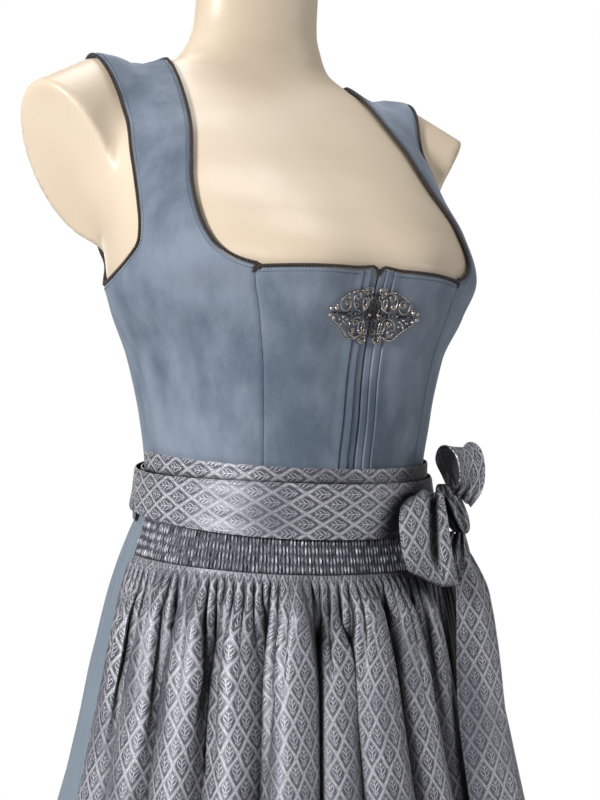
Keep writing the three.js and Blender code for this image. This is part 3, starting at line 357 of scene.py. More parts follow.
class Edge:
    """A smooth line through a table of points, laid on the figure."""

    def __init__(self, rows: Rows) -> None:
        """Lays the points on the figure and runs a centripetal curve through them.

        Args:
            rows: Points near the figure.
        """
        points = FIGURE.settle(np.array(rows, float))
        ends = [2 * points[0] - points[1], *points, 2 * points[-1] - points[-2]]
        line = []
        for p0, p1, p2, p3 in zip(ends, ends[1:], ends[2:], ends[3:]):
            t0 = 0.0
            t1 = t0 + np.linalg.norm(p1 - p0) ** 0.5
            t2 = t1 + np.linalg.norm(p2 - p1) ** 0.5
            t3 = t2 + np.linalg.norm(p3 - p2) ** 0.5
            for t in np.linspace(t1, t2, 24, endpoint=False):
                a1 = lerp(p0, p1, (t - t0) / (t1 - t0))
                a2 = lerp(p1, p2, (t - t1) / (t2 - t1))
                a3 = lerp(p2, p3, (t - t2) / (t3 - t2))
                b1 = lerp(a1, a2, (t - t0) / (t2 - t0))
                b2 = lerp(a2, a3, (t - t1) / (t3 - t1))
                line.append(lerp(b1, b2, (t - t1) / (t2 - t1)))
        line.append(points[-1])
        self.line = np.array(line)
        steps = np.linalg.norm(np.diff(self.line, axis=0), axis=1)
        self.length = np.concatenate([[0], np.cumsum(steps)])

    def __call__(self, share: Array) -> Array:
        """The line's points at shares of its length."""
        at = np.clip(np.asarray(share, float), 0, 1) * self.length[-1]
        p = np.stack([np.interp(at, self.length, self.line[:, k]) for k in range(3)], -1)
        return FIGURE.settle(p, 4)


# ---- meshes


def into_frame(p: Array) -> Array:
    """Garment millimetres as metres in the part's frame."""
    return (np.asarray(p, float) + np.array([0.0, -PLUMB_Y, WAIST_Z])) * 0.001


def placed(name: str, data: bpy.types.ID) -> Piece:
    """A new object that holds some data, linked to the scene."""
    piece = bpy.data.objects.new(name, data)
    bpy.context.scene.collection.objects.link(piece)
    return piece


def make_mesh(
    name: str, points: Array, faces: Iterable[Sequence[int]], uv: Optional[Array] = None,
    sharp: float = 50.0,
) -> Piece:
    """Makes one smooth-shaded mesh object at the origin.

    Args:
        name: The object's name.
        points: Vertices in garment millimetres.
        faces: Vertex numbers of each face.
        uv: A pair of cloth coordinates in metres for each vertex.
        sharp: Edges that bend by more than this many degrees stay crisp.

    Returns:
        The new object, linked to the scene.
    """
    mesh = bpy.data.meshes.new(name)
    mesh.from_pydata(into_frame(points).tolist(), [], [tuple(f) for f in faces])
    if uv is not None:
        layer = mesh.uv_layers.new(name="Cloth")
        corner = np.empty(len(mesh.loops), np.int32)
        mesh.loops.foreach_get("vertex_index", corner)
        layer.data.foreach_set("uv", np.asarray(uv, np.float32)[corner].ravel())
    mesh.polygons.foreach_set("use_smooth", np.ones(len(mesh.polygons), bool))
    mesh.set_sharp_from_angle(angle=math.radians(sharp))
    mesh.validate()
    return placed(name, mesh)


def shell(
    name: str, outer: Array, inner: Array, uv: Array, keep: Optional[Array] = None, sharp: float = 50.0,
) -> Piece:
    """A closed wall of cloth between two grids of points.

    Args:
        name: The object's name.
        outer: The outer face's points, rows by columns.
        inner: The inner face's points in the same order.
        uv: Cloth coordinates in metres, rows by columns.
        keep: Which cells hold cloth; all of them if left out.
        sharp: Edges that bend by more than this many degrees stay crisp.

    Returns:
        The new object.
    """
    rows, columns = outer.shape[:2]
    cells = np.ones((rows - 1, columns - 1), bool) if keep is None else keep
    index = np.arange(rows * columns).reshape(rows, columns)
    back = rows * columns
    i, j = np.nonzero(cells)
    corner = [index[i, j], index[i, j + 1], index[i + 1, j + 1], index[i + 1, j]]
    faces = [np.stack(corner, 1), np.stack(corner[::-1], 1) + back]
    padded = np.pad(cells, 1)
    beyond = [padded[i, j + 1], padded[i + 1, j + 2], padded[i + 2, j + 1], padded[i + 1, j]]
    for k, kept in enumerate(beyond):
        start, end = corner[k][~kept], corner[(k + 1) % 4][~kept]
        faces.append(np.stack([end, start, start + back, end + back], 1))
    quads = np.concatenate(faces)
    points = np.concatenate([outer.reshape(-1, 3), inner.reshape(-1, 3)])
    cloth = np.concatenate([uv.reshape(-1, 2), uv.reshape(-1, 2)])
    a, b, c = points[quads[:, 0]], points[quads[:, 1]], points[quads[:, 2]]
    d = points[quads[:, 3]]
    volume = np.sum(a * np.cross(b, c)) + np.sum(a * np.cross(c, d))
    if volume < 0:
        quads = quads[:, ::-1]
    used, renumbered = np.unique(quads, return_inverse=True)
    quads = renumbered.reshape(quads.shape)
    return make_mesh(name, points[used], quads.tolist(), cloth[used], sharp)


def run_lengths(points: Array, axis: int) -> Array:
    """Distance travelled along the rows (axis 1) or columns (axis 0) of a grid of points."""
    steps = np.linalg.norm(np.diff(points, axis=axis), axis=-1)
    start = np.zeros_like(np.take(steps, [0], axis))
    return np.concatenate([start, np.cumsum(steps, axis=axis)], axis=axis)


def cloth_uv(points: Array) -> Array:
    """Cloth coordinates, in metres, that follow a grid's own lengths."""
    u, v = run_lengths(points, 1), run_lengths(points, 0)
    u = u - u.mean(axis=1, keepdims=True)
    return np.stack([u, v], -1) * 0.001


def from_edges(points: Array) -> dict[str, Array]:
    """Each grid point's distance from the grid's four edges."""
    u, v = run_lengths(points, 1), run_lengths(points, 0)
    return {"start": u, "end": u[:, -1:] - u, "low": v, "high": v[-1:] - v}


def wires(name: str, lines: Sequence[Array], closed: bool = False) -> Piece:
    """A mesh of bare polylines, ready for a node tree that sweeps or sews along them.

    Args:
        name: The object's name.
        lines: Polylines in garment millimetres.
        closed: Whether each runs back into its start.

    Returns:
        The new object.
    """
    points, edges, start = [], [], 0
    for line in lines:
        count = len(line)
        points.extend(line)
        edges.extend((start + k, start + k + 1) for k in range(count - 1))
        if closed:
            edges.append((start + count - 1, start))
        start += count
    mesh = bpy.data.meshes.new(name)
    mesh.from_pydata(into_frame(np.array(points)).tolist(), edges, [])
    return placed(name, mesh)


def merged(name: str, parts: Sequence[Piece]) -> Piece:
    """Joins finished pieces into one mesh object, keeping their materials.

    Args:
        name: The joined object's name.
        parts: The pieces to join.

    Returns:
        The one object that holds them all.
    """
    bpy.ops.object.select_all(action="DESELECT")
    for part in parts:
        part.select_set(True)
    bpy.context.view_layer.objects.active = parts[0]
    bpy.ops.object.join()
    piece = bpy.context.view_layer.objects.active
    piece.name = name
    piece.data.name = name
    return piece


# ---- node trees for geometry


class GeometryTree:
    """A geometry node tree built step by step, with named inputs."""

    def __init__(self, name: str, inputs: dict[str, float | int]) -> None:
        """Makes the tree with one geometry input and the named numbers.

        Args:
            name: The tree's name.
            inputs: Starting values of its numbers.
        """
        self.tree = bpy.data.node_groups.new(name, "GeometryNodeTree")
        face = self.tree.interface
        face.new_socket("Geometry", in_out="INPUT", socket_type="NodeSocketGeometry")
        for label, value in inputs.items():
            kind = "NodeSocketInt" if isinstance(value, int) else "NodeSocketFloat"
            socket = face.new_socket(label, in_out="INPUT", socket_type=kind)
            socket.default_value = value
        face.new_socket("Geometry", in_out="OUTPUT", socket_type="NodeSocketGeometry")
        self.source = self.tree.nodes.new("NodeGroupInput")
        self.sink = self.tree.nodes.new("NodeGroupOutput")

    def node(self, kind: str, **links) -> bpy.types.Node:
        """Adds a node; links gives a socket or a value for inputs, with _ for spaces."""
        node = self.tree.nodes.new(kind)
        for label, value in links.items():
            socket = node.inputs[label.replace("_", " ")]
            if isinstance(value, Socket):
                self.tree.links.new(value, socket)
            else:
                socket.default_value = value
        return node

    def spaced(self) -> tuple[Socket, Socket]:
        """Points a pitch apart along the polylines, and the turn that follows the line there."""
        source = self.source.outputs
        curve = self.node("GeometryNodeMeshToCurve", Mesh=source["Geometry"])
        points = self.node("GeometryNodeResampleCurve", Curve=curve.outputs[0])
        points.mode = "LENGTH"
        self.tree.links.new(source["Pitch"], points.inputs["Length"])
        tangent = self.node("GeometryNodeInputTangent")
        turn = self.node("FunctionNodeAlignRotationToVector", Vector=tangent.outputs[0])
        turn.axis = "Z"
        return points.outputs[0], turn.outputs[0]

    def set_on(self, points: Socket, shape: Socket, **links) -> Socket:
        """The same shape on every point."""
        return self.node("GeometryNodeInstanceOnPoints", Points=points, Instance=shape, **links).outputs[0]

    def finish(self, geometry: Socket, material: Material) -> Tree:
        """Realizes the instances, sets the material and gives the finished tree.

        Args:
            geometry: What the tree has made.
            material: What it is made of.

        Returns:
            The tree.
        """
        real = self.node("GeometryNodeRealizeInstances", Geometry=geometry)
        dressed = self.node("GeometryNodeSetMaterial", Geometry=real.outputs[0])
        dressed.inputs["Material"].default_value = material
        self.tree.links.new(dressed.outputs[0], self.sink.inputs[0])
        return self.tree


def baked(piece: Piece, tree: Tree, **values: float) -> None:
    """Runs a node tree on an object and keeps the result as its plain mesh.

    Args:
        piece: The object that the tree starts from.
        tree: The geometry node tree.
        values: Numbers for the tree's named inputs, with _ for spaces.
    """
    modifier = piece.modifiers.new("Nodes", "NODES")
    modifier.node_group = tree
    named = {s.name: s.identifier for s in tree.interface.items_tree if s.in_out == "INPUT"}
    for label, value in values.items():
        modifier[named[label.replace("_", " ")]] = value
    graph = bpy.context.evaluated_depsgraph_get()
    mesh = bpy.data.meshes.new_from_object(piece.evaluated_get(graph))
    piece.modifiers.remove(modifier)
    old = piece.data
    piece.data = mesh
    mesh.name = piece.name
    bpy.data.meshes.remove(old)


def sweep_tree(material: Material) -> Tree:
    """A tree that sweeps a round section along every polyline of a mesh.

    Args:
        material: What the pieces are made of.

    Returns:
        The finished tree.
    """
    made = GeometryTree("Sweep Strands", {"Radius": 0.0007, "Sides": 6})
    source = made.source.outputs
    curve = made.node("GeometryNodeMeshToCurve", Mesh=source["Geometry"])
    sides, radius = source["Sides"], source["Radius"]
    ring = made.node("GeometryNodeCurvePrimitiveCircle", Resolution=sides, Radius=radius)
    tube = made.node("GeometryNodeCurveToMesh", Curve=curve.outputs[0], Profile_Curve=ring.outputs[0])
    tube.inputs["Fill Caps"].default_value = True
    soft = made.node("GeometryNodeSetShadeSmooth", Geometry=tube.outputs[0])
    return made.finish(soft.outputs[0], material)


def stitch_tree(material: Material) -> Tree:
    """A tree that sews short round stitches along every polyline of a mesh.

    Args:
        material: What the pieces are made of.

    Returns:
        The finished tree.
    """
    made = GeometryTree("Sew Stitches", {"Pitch": 0.003, "Length": 0.0022, "Thread": 0.00022})
    source = made.source.outputs
    points, turn = made.spaced()
    radius, depth = source["Thread"], source["Length"]
    thread = made.node("GeometryNodeMeshCylinder", Vertices=5, Radius=radius, Depth=depth)
    return made.finish(made.set_on(points, thread.outputs["Mesh"], Rotation=turn), material)


def bead_tree(material: Material) -> Tree:
    """A tree that sets a ball on every loose vertex, sized by the vertex's bead attribute.

    Args:
        material: What the pieces are made of.

    Returns:
        The finished tree.
    """
    made = GeometryTree("Set Beads", {})
    points = made.node("GeometryNodeMeshToPoints", Mesh=made.source.outputs["Geometry"])
    ball = made.node("GeometryNodeMeshIcoSphere", Radius=1.0, Subdivisions=2)
    size = made.node("GeometryNodeInputNamedAttribute", Name="bead")
    size.data_type = "FLOAT"
    beads = made.set_on(points.outputs[0], ball.outputs["Mesh"], Scale=size.outputs["Attribute"])
    return made.finish(beads, material)


def tooth_tree(material: Material) -> Tree:
    """A tree that sets interlocked zip teeth along a polyline.

    Args:
        material: What the pieces are made of.

    Returns:
        The finished tree.
    """
    made = GeometryTree("Set Teeth", {"Pitch": 0.0015, "Width": 0.0034})
    points, turn = made.spaced()
    size = made.node("ShaderNodeCombineXYZ", X=made.source.outputs["Width"], Y=0.0008, Z=0.0009)
    tooth = made.node("GeometryNodeMeshCube", Size=size.outputs[0])
    return made.finish(made.set_on(points, tooth.outputs["Mesh"], Rotation=turn), material)


# ---- finishes


class Shader:
    """A node material under construction."""

    def __init__(self, name: str) -> None:
        """Starts a material with one Principled shader."""
        self.material = bpy.data.materials.new(name)
        self.material.use_nodes = True
        self.tree = self.material.node_tree
        self.bsdf = self.tree.nodes["Principled BSDF"]
        self.coords = self.tree.nodes.new("ShaderNodeTexCoord")

    @property
    def place(self) -> Socket:
        """The point's place in the part's own axes, in metres."""
        return self.coords.outputs["Object"]

    @property
    def cloth(self) -> Socket:
        """The point's place on the flat cloth, in metres."""
        return self.coords.outputs["UV"]

    def plug(self, value, socket: Socket) -> None:
        """Links a socket, or sets a plain value."""
        if isinstance(value, Socket):
            self.tree.links.new(value, socket)
        else:
            socket.default_value = value

    def math(self, kind: str, *values) -> Socket:
        """One step of arithmetic on sockets or numbers."""
        node = self.tree.nodes.new("ShaderNodeMath")
        node.operation = kind
        for k, value in enumerate(values):
            self.plug(value, node.inputs[k])
        return node.outputs[0]

    def plus(self, a, b) -> Socket:
        """The sum of two values."""
        return self.math("ADD", a, b)

    def minus(self, a, b) -> Socket:
        """The first value less the second."""
        return self.math("SUBTRACT", a, b)

    def times(self, a, b) -> Socket:
        """The product of two values."""
        return self.math("MULTIPLY", a, b)

    def parts(self, vector: Socket) -> tuple[Socket, ...]:
        """A vector's three parts."""
        node = self.tree.nodes.new("ShaderNodeSeparateXYZ")
        self.plug(vector, node.inputs[0])
        return tuple(node.outputs)

    def scaled(self, vector: Socket, factors: Sequence[float]) -> Socket:
        """A vector stretched along its axes."""
        node = self.tree.nodes.new("ShaderNodeMapping")
        self.plug(vector, node.inputs["Vector"])
        node.inputs["Scale"].default_value = factors
        return node.outputs[0]

    def noise(self, vector: Socket, scale: float, detail: float = 3.0, rough: float = 0.5) -> Socket:
        """Soft noise around 0.5.

        Args:
            vector: The coordinates to read.
            scale: Waves for each metre.
            detail: Octaves of finer noise.
            rough: How strong the finer noise is.

        Returns:
            The noise as a number.
        """
        node = self.tree.nodes.new("ShaderNodeTexNoise")
        self.plug(vector, node.inputs["Vector"])
        node.inputs["Scale"].default_value = scale
        node.inputs["Detail"].default_value = detail
        node.inputs["Roughness"].default_value = rough
        return node.outputs[0]

    def ramp(self, value: Socket, *limits: float) -> Socket:
        """A soft step: value runs from limits[0] to limits[1], giving limits[2] to limits[3].

        Args:
            value: The number to read.
            limits: Where it starts and ends, and what it gives there (0 and 1 if left out).

        Returns:
            The step.
        """
        node = self.tree.nodes.new("ShaderNodeMapRange")
        node.interpolation_type = "SMOOTHSTEP"
        self.plug(value, node.inputs["Value"])
        spans = (*limits, 0.0, 1.0)[:4] if len(limits) == 2 else limits
        for label, number in zip(("From Min", "From Max", "To Min", "To Max"), spans):
            node.inputs[label].default_value = number
        return node.outputs[0]

    def mix(self, share, low, high) -> Socket:
        """A colour between two colours.

        Args:
            share: How far from low to high.
            low: A colour or a socket.
            high: A colour or a socket.

        Returns:
            The colour.
        """
        node = self.tree.nodes.new("ShaderNodeMix")
        node.data_type = "RGBA"
        for label, value in (("Factor_Float", share), ("A_Color", low), ("B_Color", high)):
            socket = next(s for s in node.inputs if s.identifier == label)
            self.plug((*value, 1.0) if isinstance(value, tuple) else value, socket)
        return next(s for s in node.outputs if s.identifier == "Result_Color")

    def hollow(self, reach: float, floor: float) -> Socket:
        """Painted shade: how open the surface lies by ambient occlusion, 1 on a crest, down to a floor in a
        deep fold, for darkening the colour in folds.
        """
        node = self.tree.nodes.new("ShaderNodeAmbientOcclusion")
        node.samples = 8
        node.inputs["Distance"].default_value = reach
        return self.ramp(node.outputs["AO"], 0.50, 0.97, floor, 1.0)

    def bump(self, height, distance: float, strength: float = 1.0) -> None:
        """Raises the surface by a height between 0 and 1 times a distance in metres.

        Args:
            height: The height to read.
            distance: How high 1 stands.
            strength: How much of it shows.
        """
        node = self.tree.nodes.new("ShaderNodeBump")
        self.plug(height, node.inputs["Height"])
        node.inputs["Distance"].default_value = distance
        node.inputs["Strength"].default_value = strength
        self.tree.links.new(node.outputs[0], self.bsdf.inputs["Normal"])

    def set(self, **values) -> Material:
        """Sets the shader's sockets, with _ for spaces, and gives the finished material."""
        for label, value in values.items():
            value = (*value, 1.0) if isinstance(value, tuple) and len(value) == 3 else value
            self.plug(value, self.bsdf.inputs[label.replace("_", " ")])
        return self.material


Colour = tuple[float, float, float]


@dataclass(frozen=True)
class Velvet:
    """Short cut pile, brushed into cloudy patches."""

    dark: Colour = (0.096, 0.122, 0.162)
    light: Colour = (0.235, 0.272, 0.335)
    sheen: Colour = (0.72, 0.80, 0.92)

    def build(self) -> Material:
        """Makes the material."""
        s = Shader("velvet")
        broad = s.noise(s.place, 11, 2, 0.55)
        streaks = s.noise(s.scaled(s.place, (1.0, 1.0, 0.45)), 46, 4, 0.6)
        pile = s.noise(s.place, 900, 2, 0.6)
        cloud = s.plus(s.times(broad, 0.55), s.times(streaks, 0.45))
        colour = s.mix(s.ramp(cloud, 0.32, 0.68), self.dark, self.light)
        speck = s.mix(s.ramp(pile, 0.2, 0.8, 0.0, 0.22), colour, (0.25, 0.32, 0.42))
        s.bump(s.plus(pile, s.times(streaks, 1.4)), 0.00025, 0.6)
        return s.set(
            Base_Color=speck, Roughness=s.ramp(cloud, 0.3, 0.7, 0.92, 0.78), Sheen_Weight=0.3,
            Sheen_Roughness=0.45, Sheen_Tint=self.sheen, Specular_IOR_Level=0.15,
        )


@dataclass(frozen=True)
class Twill:
    """Plain satin twill with fine slanting ribs."""

    dark: Colour = (0.150, 0.190, 0.235)
    light: Colour = (0.245, 0.295, 0.350)
    pitch: float = 0.0011

    def build(self) -> Material:
        """Makes the material."""
        s = Shader("twill")
        u, v, _ = s.parts(s.cloth)
        across = s.times(s.plus(u, s.times(v, 0.6)), 2 * math.pi / self.pitch)
        rib = s.math("MULTIPLY_ADD", s.math("SINE", across), 0.5, 0.5)
        slub = s.noise(s.scaled(s.cloth, (1.0, 0.08, 1.0)), 420, 3, 0.6)
        cloud = s.noise(s.place, 9, 2, 0.5)
        tone = s.plus(s.times(rib, 0.28), s.times(slub, 0.36))
        tone = s.plus(tone, s.times(cloud, 0.36))
        s.bump(s.plus(rib, slub), 0.00012, 0.7)
        return s.set(
            Base_Color=s.mix(s.ramp(tone, 0.25, 0.75), self.dark, self.light),
            Roughness=s.ramp(slub, 0.3, 0.7, 0.5, 0.62), Sheen_Weight=0.15, Specular_IOR_Level=0.4,
        )


@dataclass(frozen=True)
class Jacquard:
    """Satin woven with a pointed trellis and a sprig in each of its cells, with painted shade darkening it
    in its folds.
    """

    ground: Colour = (0.058, 0.058, 0.080)
    shine: Colour = (0.120, 0.120, 0.154)
    figure: Colour = (0.96, 0.96, 1.00)
    # deep is painted shade: the near-black that folded-in cloth is darkened to.
    deep: Colour = (0.010, 0.010, 0.014)
    cell_width: float = 0.0158
    cell_height: float = 0.0245
    bow: float = -0.12
    weave: float = 0.0007

    # Leaves of the sprig in a cell's own millimetres: place, half sizes, turn in degrees.
    LEAVES = (
        (0.0, 0.2, 0.24, 7.0, 0.0), (1.2, 5.0, 0.26, 1.7, 36.0), (1.9, 2.3, 0.27, 2.3, 40.0),
        (2.2, -0.8, 0.27, 2.4, 44.0), (1.3, -3.8, 0.25, 1.9, 42.0), (3.6, 1.9, 0.20, 1.1, 4.0),
    )

    def trellis(self, s: Shader) -> tuple[Socket, ...]:
        """The cell's own coordinates and the distance to its border.

        Args:
            s: The shader that is being built.

        Returns:
            The place across and up the cell in millimetres, and the border distance as a share.
        """
        u, v, _ = s.parts(s.cloth)
        x = s.math("DIVIDE", u, self.cell_width)
        y = s.math("DIVIDE", v, self.cell_height)
        swing = s.math("SINE", s.times(y, 4 * math.pi))
        g = s.plus(y, s.times(swing, self.bow / (4 * math.pi)))
        p = s.minus(s.math("FRACT", s.plus(x, g)), 0.5)
        q = s.minus(s.math("FRACT", s.minus(x, g)), 0.5)
        across = s.times(s.plus(p, q), self.cell_width * 500)
        up = s.times(s.minus(p, q), self.cell_height * 500)
        rim = s.minus(0.5, s.math("MAXIMUM", s.math("ABSOLUTE", p), s.math("ABSOLUTE", q)))
        return across, up, rim

    def leaf(self, s: Shader, x, y, row: Sequence[float]) -> Socket:
        """One leaf: 1 inside its oval and 0 outside.

        Args:
            s: The shader that is being built.
            x: The place across the cell.
            y: The place up the cell.
            row: The leaf's row of LEAVES.

        Returns:
            The leaf as a number.
        """
        at_x, at_y, half_x, half_y, turn = row
        c, sn = math.cos(math.radians(turn)), math.sin(math.radians(turn))
        dx, dy = s.minus(x, at_x), s.minus(y, at_y)
        a = s.plus(s.times(dx, c / half_x), s.times(dy, -sn / half_x))
        b = s.plus(s.times(dx, sn / half_y), s.times(dy, c / half_y))
        r = s.plus(s.times(a, a), s.times(b, b))
        return s.ramp(r, 1.4, 0.6)

    def woven(self, s: Shader) -> Socket:
        """The pattern: 1 where the silver weft lies on top and 0 on the satin ground.

        Args:
            s: The shader that is being built.

        Returns:
            The pattern as a number.
        """
        across, up, rim = self.trellis(s)
        side = s.math("ABSOLUTE", across)
        sprig = self.leaf(s, side, up, self.LEAVES[0])
        for row in self.LEAVES[1:]:
            sprig = s.math("MAXIMUM", sprig, self.leaf(s, side, up, row))
        jag = s.times(s.math("SINE", s.times(up, 3.1)), 0.012)
        line = s.ramp(s.math("ABSOLUTE", s.minus(s.plus(rim, jag), 0.016)), 0.017, 0.005)
        comb = s.math("SINE", s.times(s.plus(up, s.times(side, -1.1)), 4.2))
        band = s.times(s.ramp(rim, 0.02, 0.03), s.ramp(rim, 0.13, 0.09))
        teeth = s.times(band, s.ramp(comb, 0.25, 0.7))
        figure = s.math("MAXIMUM", s.math("MAXIMUM", line, s.times(sprig, 0.9)), teeth)
        thread = s.noise(s.scaled(s.cloth, (1.0, 0.4, 1.0)), 1300, 2, 0.7)
        turned = s.ramp(s.noise(s.scaled(s.cloth, (1.0, 0.5, 1.0)), 17, 2, 0.5), 0.34, 0.56, 0.42, 1.0)
        figure = s.times(figure, s.ramp(thread, 0.34, 0.54, 0.4, 1.0))
        return s.times(figure, turned)

    def build(self) -> Material:
        """Makes the material."""
        s = Shader("jacquard")
        figure = self.woven(s)
        v = s.parts(s.cloth)[1]
        rib = s.math("SINE", s.times(v, 2 * math.pi / self.weave))
        ground = s.mix(s.noise(s.place, 14, 2, 0.5), self.ground, self.shine)
        s.bump(s.plus(figure, s.times(rib, 0.12)), 0.0002, 0.6)
        woven = s.mix(figure, ground, self.figure)
        # Painted shade: the colour is darkened to deep where the cloth lies folded in.
        return s.set(
            Base_Color=s.mix(s.hollow(0.055, 0.0), self.deep, woven),
            Metallic=s.ramp(figure, 0.0, 1.0, 0.30, 0.15), Roughness=s.ramp(figure, 0.0, 1.0, 0.40, 0.46),
            Specular_IOR_Level=0.6,
        )


@dataclass(frozen=True)
class Smocked:
    """The same satin drawn into fine ribs, with painted shade darkening the colour between them."""

    # low is painted shade: the dark colour laid between the ribs and at the stitched rows.
    low: Colour = (0.020, 0.020, 0.028)
    ground: Colour = (0.085, 0.086, 0.108)
    bright: Colour = (0.42, 0.42, 0.50)
    rib: float = 0.0098
    row: float = 0.0085

    def build(self) -> Material:
        """Makes the material."""
        s = Shader("smocked_satin")
        u, v, _ = s.parts(s.cloth)
        across = s.math("COSINE", s.times(u, 2 * math.pi / self.rib))
        along = s.math("ABSOLUTE", s.math("SINE", s.times(v, math.pi / self.row)))
        crest = s.math("MULTIPLY_ADD", across, -0.5, 0.5)
        height = s.times(crest, s.math("POWER", along, 0.5))
        fleck = s.noise(s.scaled(s.cloth, (1.0, 0.5, 1.0)), 190, 3, 0.65)
        colour = s.mix(s.ramp(fleck, 0.42, 0.62), self.ground, self.bright)
        s.bump(s.noise(s.cloth, 1500, 2, 0.6), 0.0001, 0.5)
        # Painted shade: off the ribs' crests and at the stitched rows the colour is darkened to low.
        return s.set(
            Base_Color=s.mix(s.ramp(height, 0.15, 0.8), self.low, colour), Metallic=0.25, Roughness=0.42,
            Specular_IOR_Level=0.6,
        )


@dataclass(frozen=True)
class Yarn:
    """Twisted or sewn thread of one colour."""

    name: str
    colour: Colour

    def build(self) -> Material:
        """Makes the material."""
        s = Shader(self.name)
        fibre = s.noise(s.place, 1400, 3, 0.65)
        dark = tuple(0.45 * c for c in self.colour)
        s.bump(fibre, 0.0002, 0.6)
        return s.set(
            Base_Color=s.mix(s.ramp(fibre, 0.3, 0.7), dark, self.colour), Roughness=0.7, Sheen_Weight=0.15,
            Specular_IOR_Level=0.3,
        )


@dataclass(frozen=True)
class AntiqueSilver:
    """Cast silver with dark patina left in its hollows."""

    name: str
    bright: Colour = (0.62, 0.56, 0.50)
    dark: Colour = (0.045, 0.036, 0.032)
    patina: float = 0.45

    def build(self) -> Material:
        """Makes the material."""
        s = Shader(self.name)
        stain = s.noise(s.place, 420, 4, 0.65)
        grain = s.noise(s.place, 2600, 2, 0.5)
        worn = s.ramp(stain, self.patina - 0.12, self.patina + 0.1)
        s.bump(grain, 0.0001, 0.5)
        return s.set(
            Base_Color=s.mix(worn, self.dark, self.bright), Metallic=1.0,
            Roughness=s.ramp(stain, 0.3, 0.7, 0.5, 0.26),
        )


@dataclass(frozen=True)
class Lacquer:
    """Semi-gloss cream lacquer on a moulded shell."""

    low: Colour = (0.70, 0.575, 0.43)
    high: Colour = (0.79, 0.665, 0.51)

    def build(self) -> Material:
        """Makes the material."""
        s = Shader("form_lacquer")
        cloud = s.noise(s.place, 7, 2, 0.5)
        skin = s.noise(s.place, 260, 2, 0.5)
        scuff = s.noise(s.scaled(s.place, (1.0, 1.0, 0.3)), 30, 5, 0.6)
        s.bump(skin, 0.00012, 0.35)
        return s.set(
            Base_Color=s.mix(s.ramp(cloud, 0.3, 0.7), self.low, self.high),
            Roughness=s.ramp(scuff, 0.3, 0.75, 0.36, 0.5), Coat_Weight=0.12, Coat_Roughness=0.3,
            Specular_IOR_Level=0.45,
        )


@dataclass(frozen=True)
class SatinSteel:
    """Steel brushed round its turning."""

    colour: Colour = (0.48, 0.48, 0.47)

    def build(self) -> Material:
        """Makes the material."""
        s = Shader("satin_steel")
        brushed = s.noise(s.scaled(s.place, (1.0, 1.0, 14.0)), 60, 4, 0.6)
        smudge = s.noise(s.place, 12, 3, 0.5)
        s.bump(brushed, 0.00008, 0.4)
        return s.set(
            Base_Color=s.mix(smudge, self.colour, tuple(1.15 * c for c in self.colour)), Metallic=1.0,
            Roughness=s.ramp(brushed, 0.3, 0.7, 0.26, 0.4),
        )


@dataclass(frozen=True)
class FloorPaint:
    """A pale matt floor that fades out with distance."""

    colour: Colour = (0.93, 0.93, 0.93)
    near: float = 0.7
    far: float = 2.6

    def build(self) -> Material:
        """Makes the material."""
        s = Shader("pale_floor")
        x, y, _ = s.parts(s.place)
        away = s.math("SQRT", s.plus(s.times(x, x), s.times(y, y)))
        grain = s.noise(s.place, 60, 3, 0.5)
        s.bump(grain, 0.0002, 0.1)
        return s.set(
            Base_Color=self.colour, Roughness=0.85, Alpha=s.ramp(away, self.near, self.far, 1.0, 0.0),
        )


@dataclass
class Workshop:
    """The materials and node trees that the classes below share."""

    materials: dict[str, Material] = field(default_factory=dict)
    trees: dict[str, Tree] = field(default_factory=dict)

    def stock(self) -> None:
        """Makes every material and tree once."""
        finishes = {
            "velvet": Velvet(), "twill": Twill(), "jacquard": Jacquard(), "smocked": Smocked(),
            "braid": Yarn("braid_yarn", (0.055, 0.040, 0.038)),
            "velvet_thread": Yarn("velvet_thread", (0.075, 0.100, 0.150)),
            "apron_thread": Yarn("apron_thread", (0.20, 0.20, 0.26)),
            "skirt_thread": Yarn("skirt_thread", (0.16, 0.19, 0.24)),
            "silver": AntiqueSilver("clasp_silver"), "oxide": AntiqueSilver("clasp_oxide", patina=0.62),
            "lacquer": Lacquer(), "steel": SatinSteel(),
        }
        self.materials = {name: finish.build() for name, finish in finishes.items()}
        for name in ("braid", "silver", "oxide"):
            self.trees["sweep_" + name] = sweep_tree(self.materials[name])
        for name in ("velvet_thread", "apron_thread", "skirt_thread"):
            self.trees["sew_" + name] = stitch_tree(self.materials[name])
        self.trees["beads"] = bead_tree(self.materials["silver"])
        self.trees["teeth"] = tooth_tree(self.materials["silver"])

    def dress(self, piece: Piece, material: str, slot: Slot, *nodes: str) -> None:
        """Gives a finished piece its material, hangs it on the root body and hides the CAD parts that it
        stands for.

        Args:
            piece: The finished object.
            material: The material's name here, or an empty word where a tree has set it.
            slot: The material slot; not used.
            nodes: The CAD nodes that the piece stands for.
        """
        if material:
            piece.data.materials.clear()
            piece.data.materials.append(self.materials[material])
        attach(piece, "root")
        if nodes:
            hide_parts(*nodes)
        triangles = sum(len(p.vertices) - 2 for p in piece.data.polygons)
        log.info("%s: %d triangles", piece.name, triangles)


    def strung(
        self, name: str, lines: Sequence[Array], tree: str, slot: Slot,
        nodes: Sequence[str] = (), closed: bool = False, **sizes: float,
    ) -> None:
        """Runs a tree along polylines and dresses what it makes.

        Args:
            name: The piece's name.
            lines: Polylines in garment millimetres.
            tree: The tree's name here.
            slot: The material slot, handed on to dress.
            nodes: The CAD nodes that the piece stands for.
            closed: Whether each line runs back into its start.
            sizes: Numbers for the tree's inputs.
        """
        piece = wires(name, lines, closed)
        baked(piece, self.trees[tree], **sizes)
        self.dress(piece, "", slot, *nodes)


SHOP = Workshop()


# ---- bodice

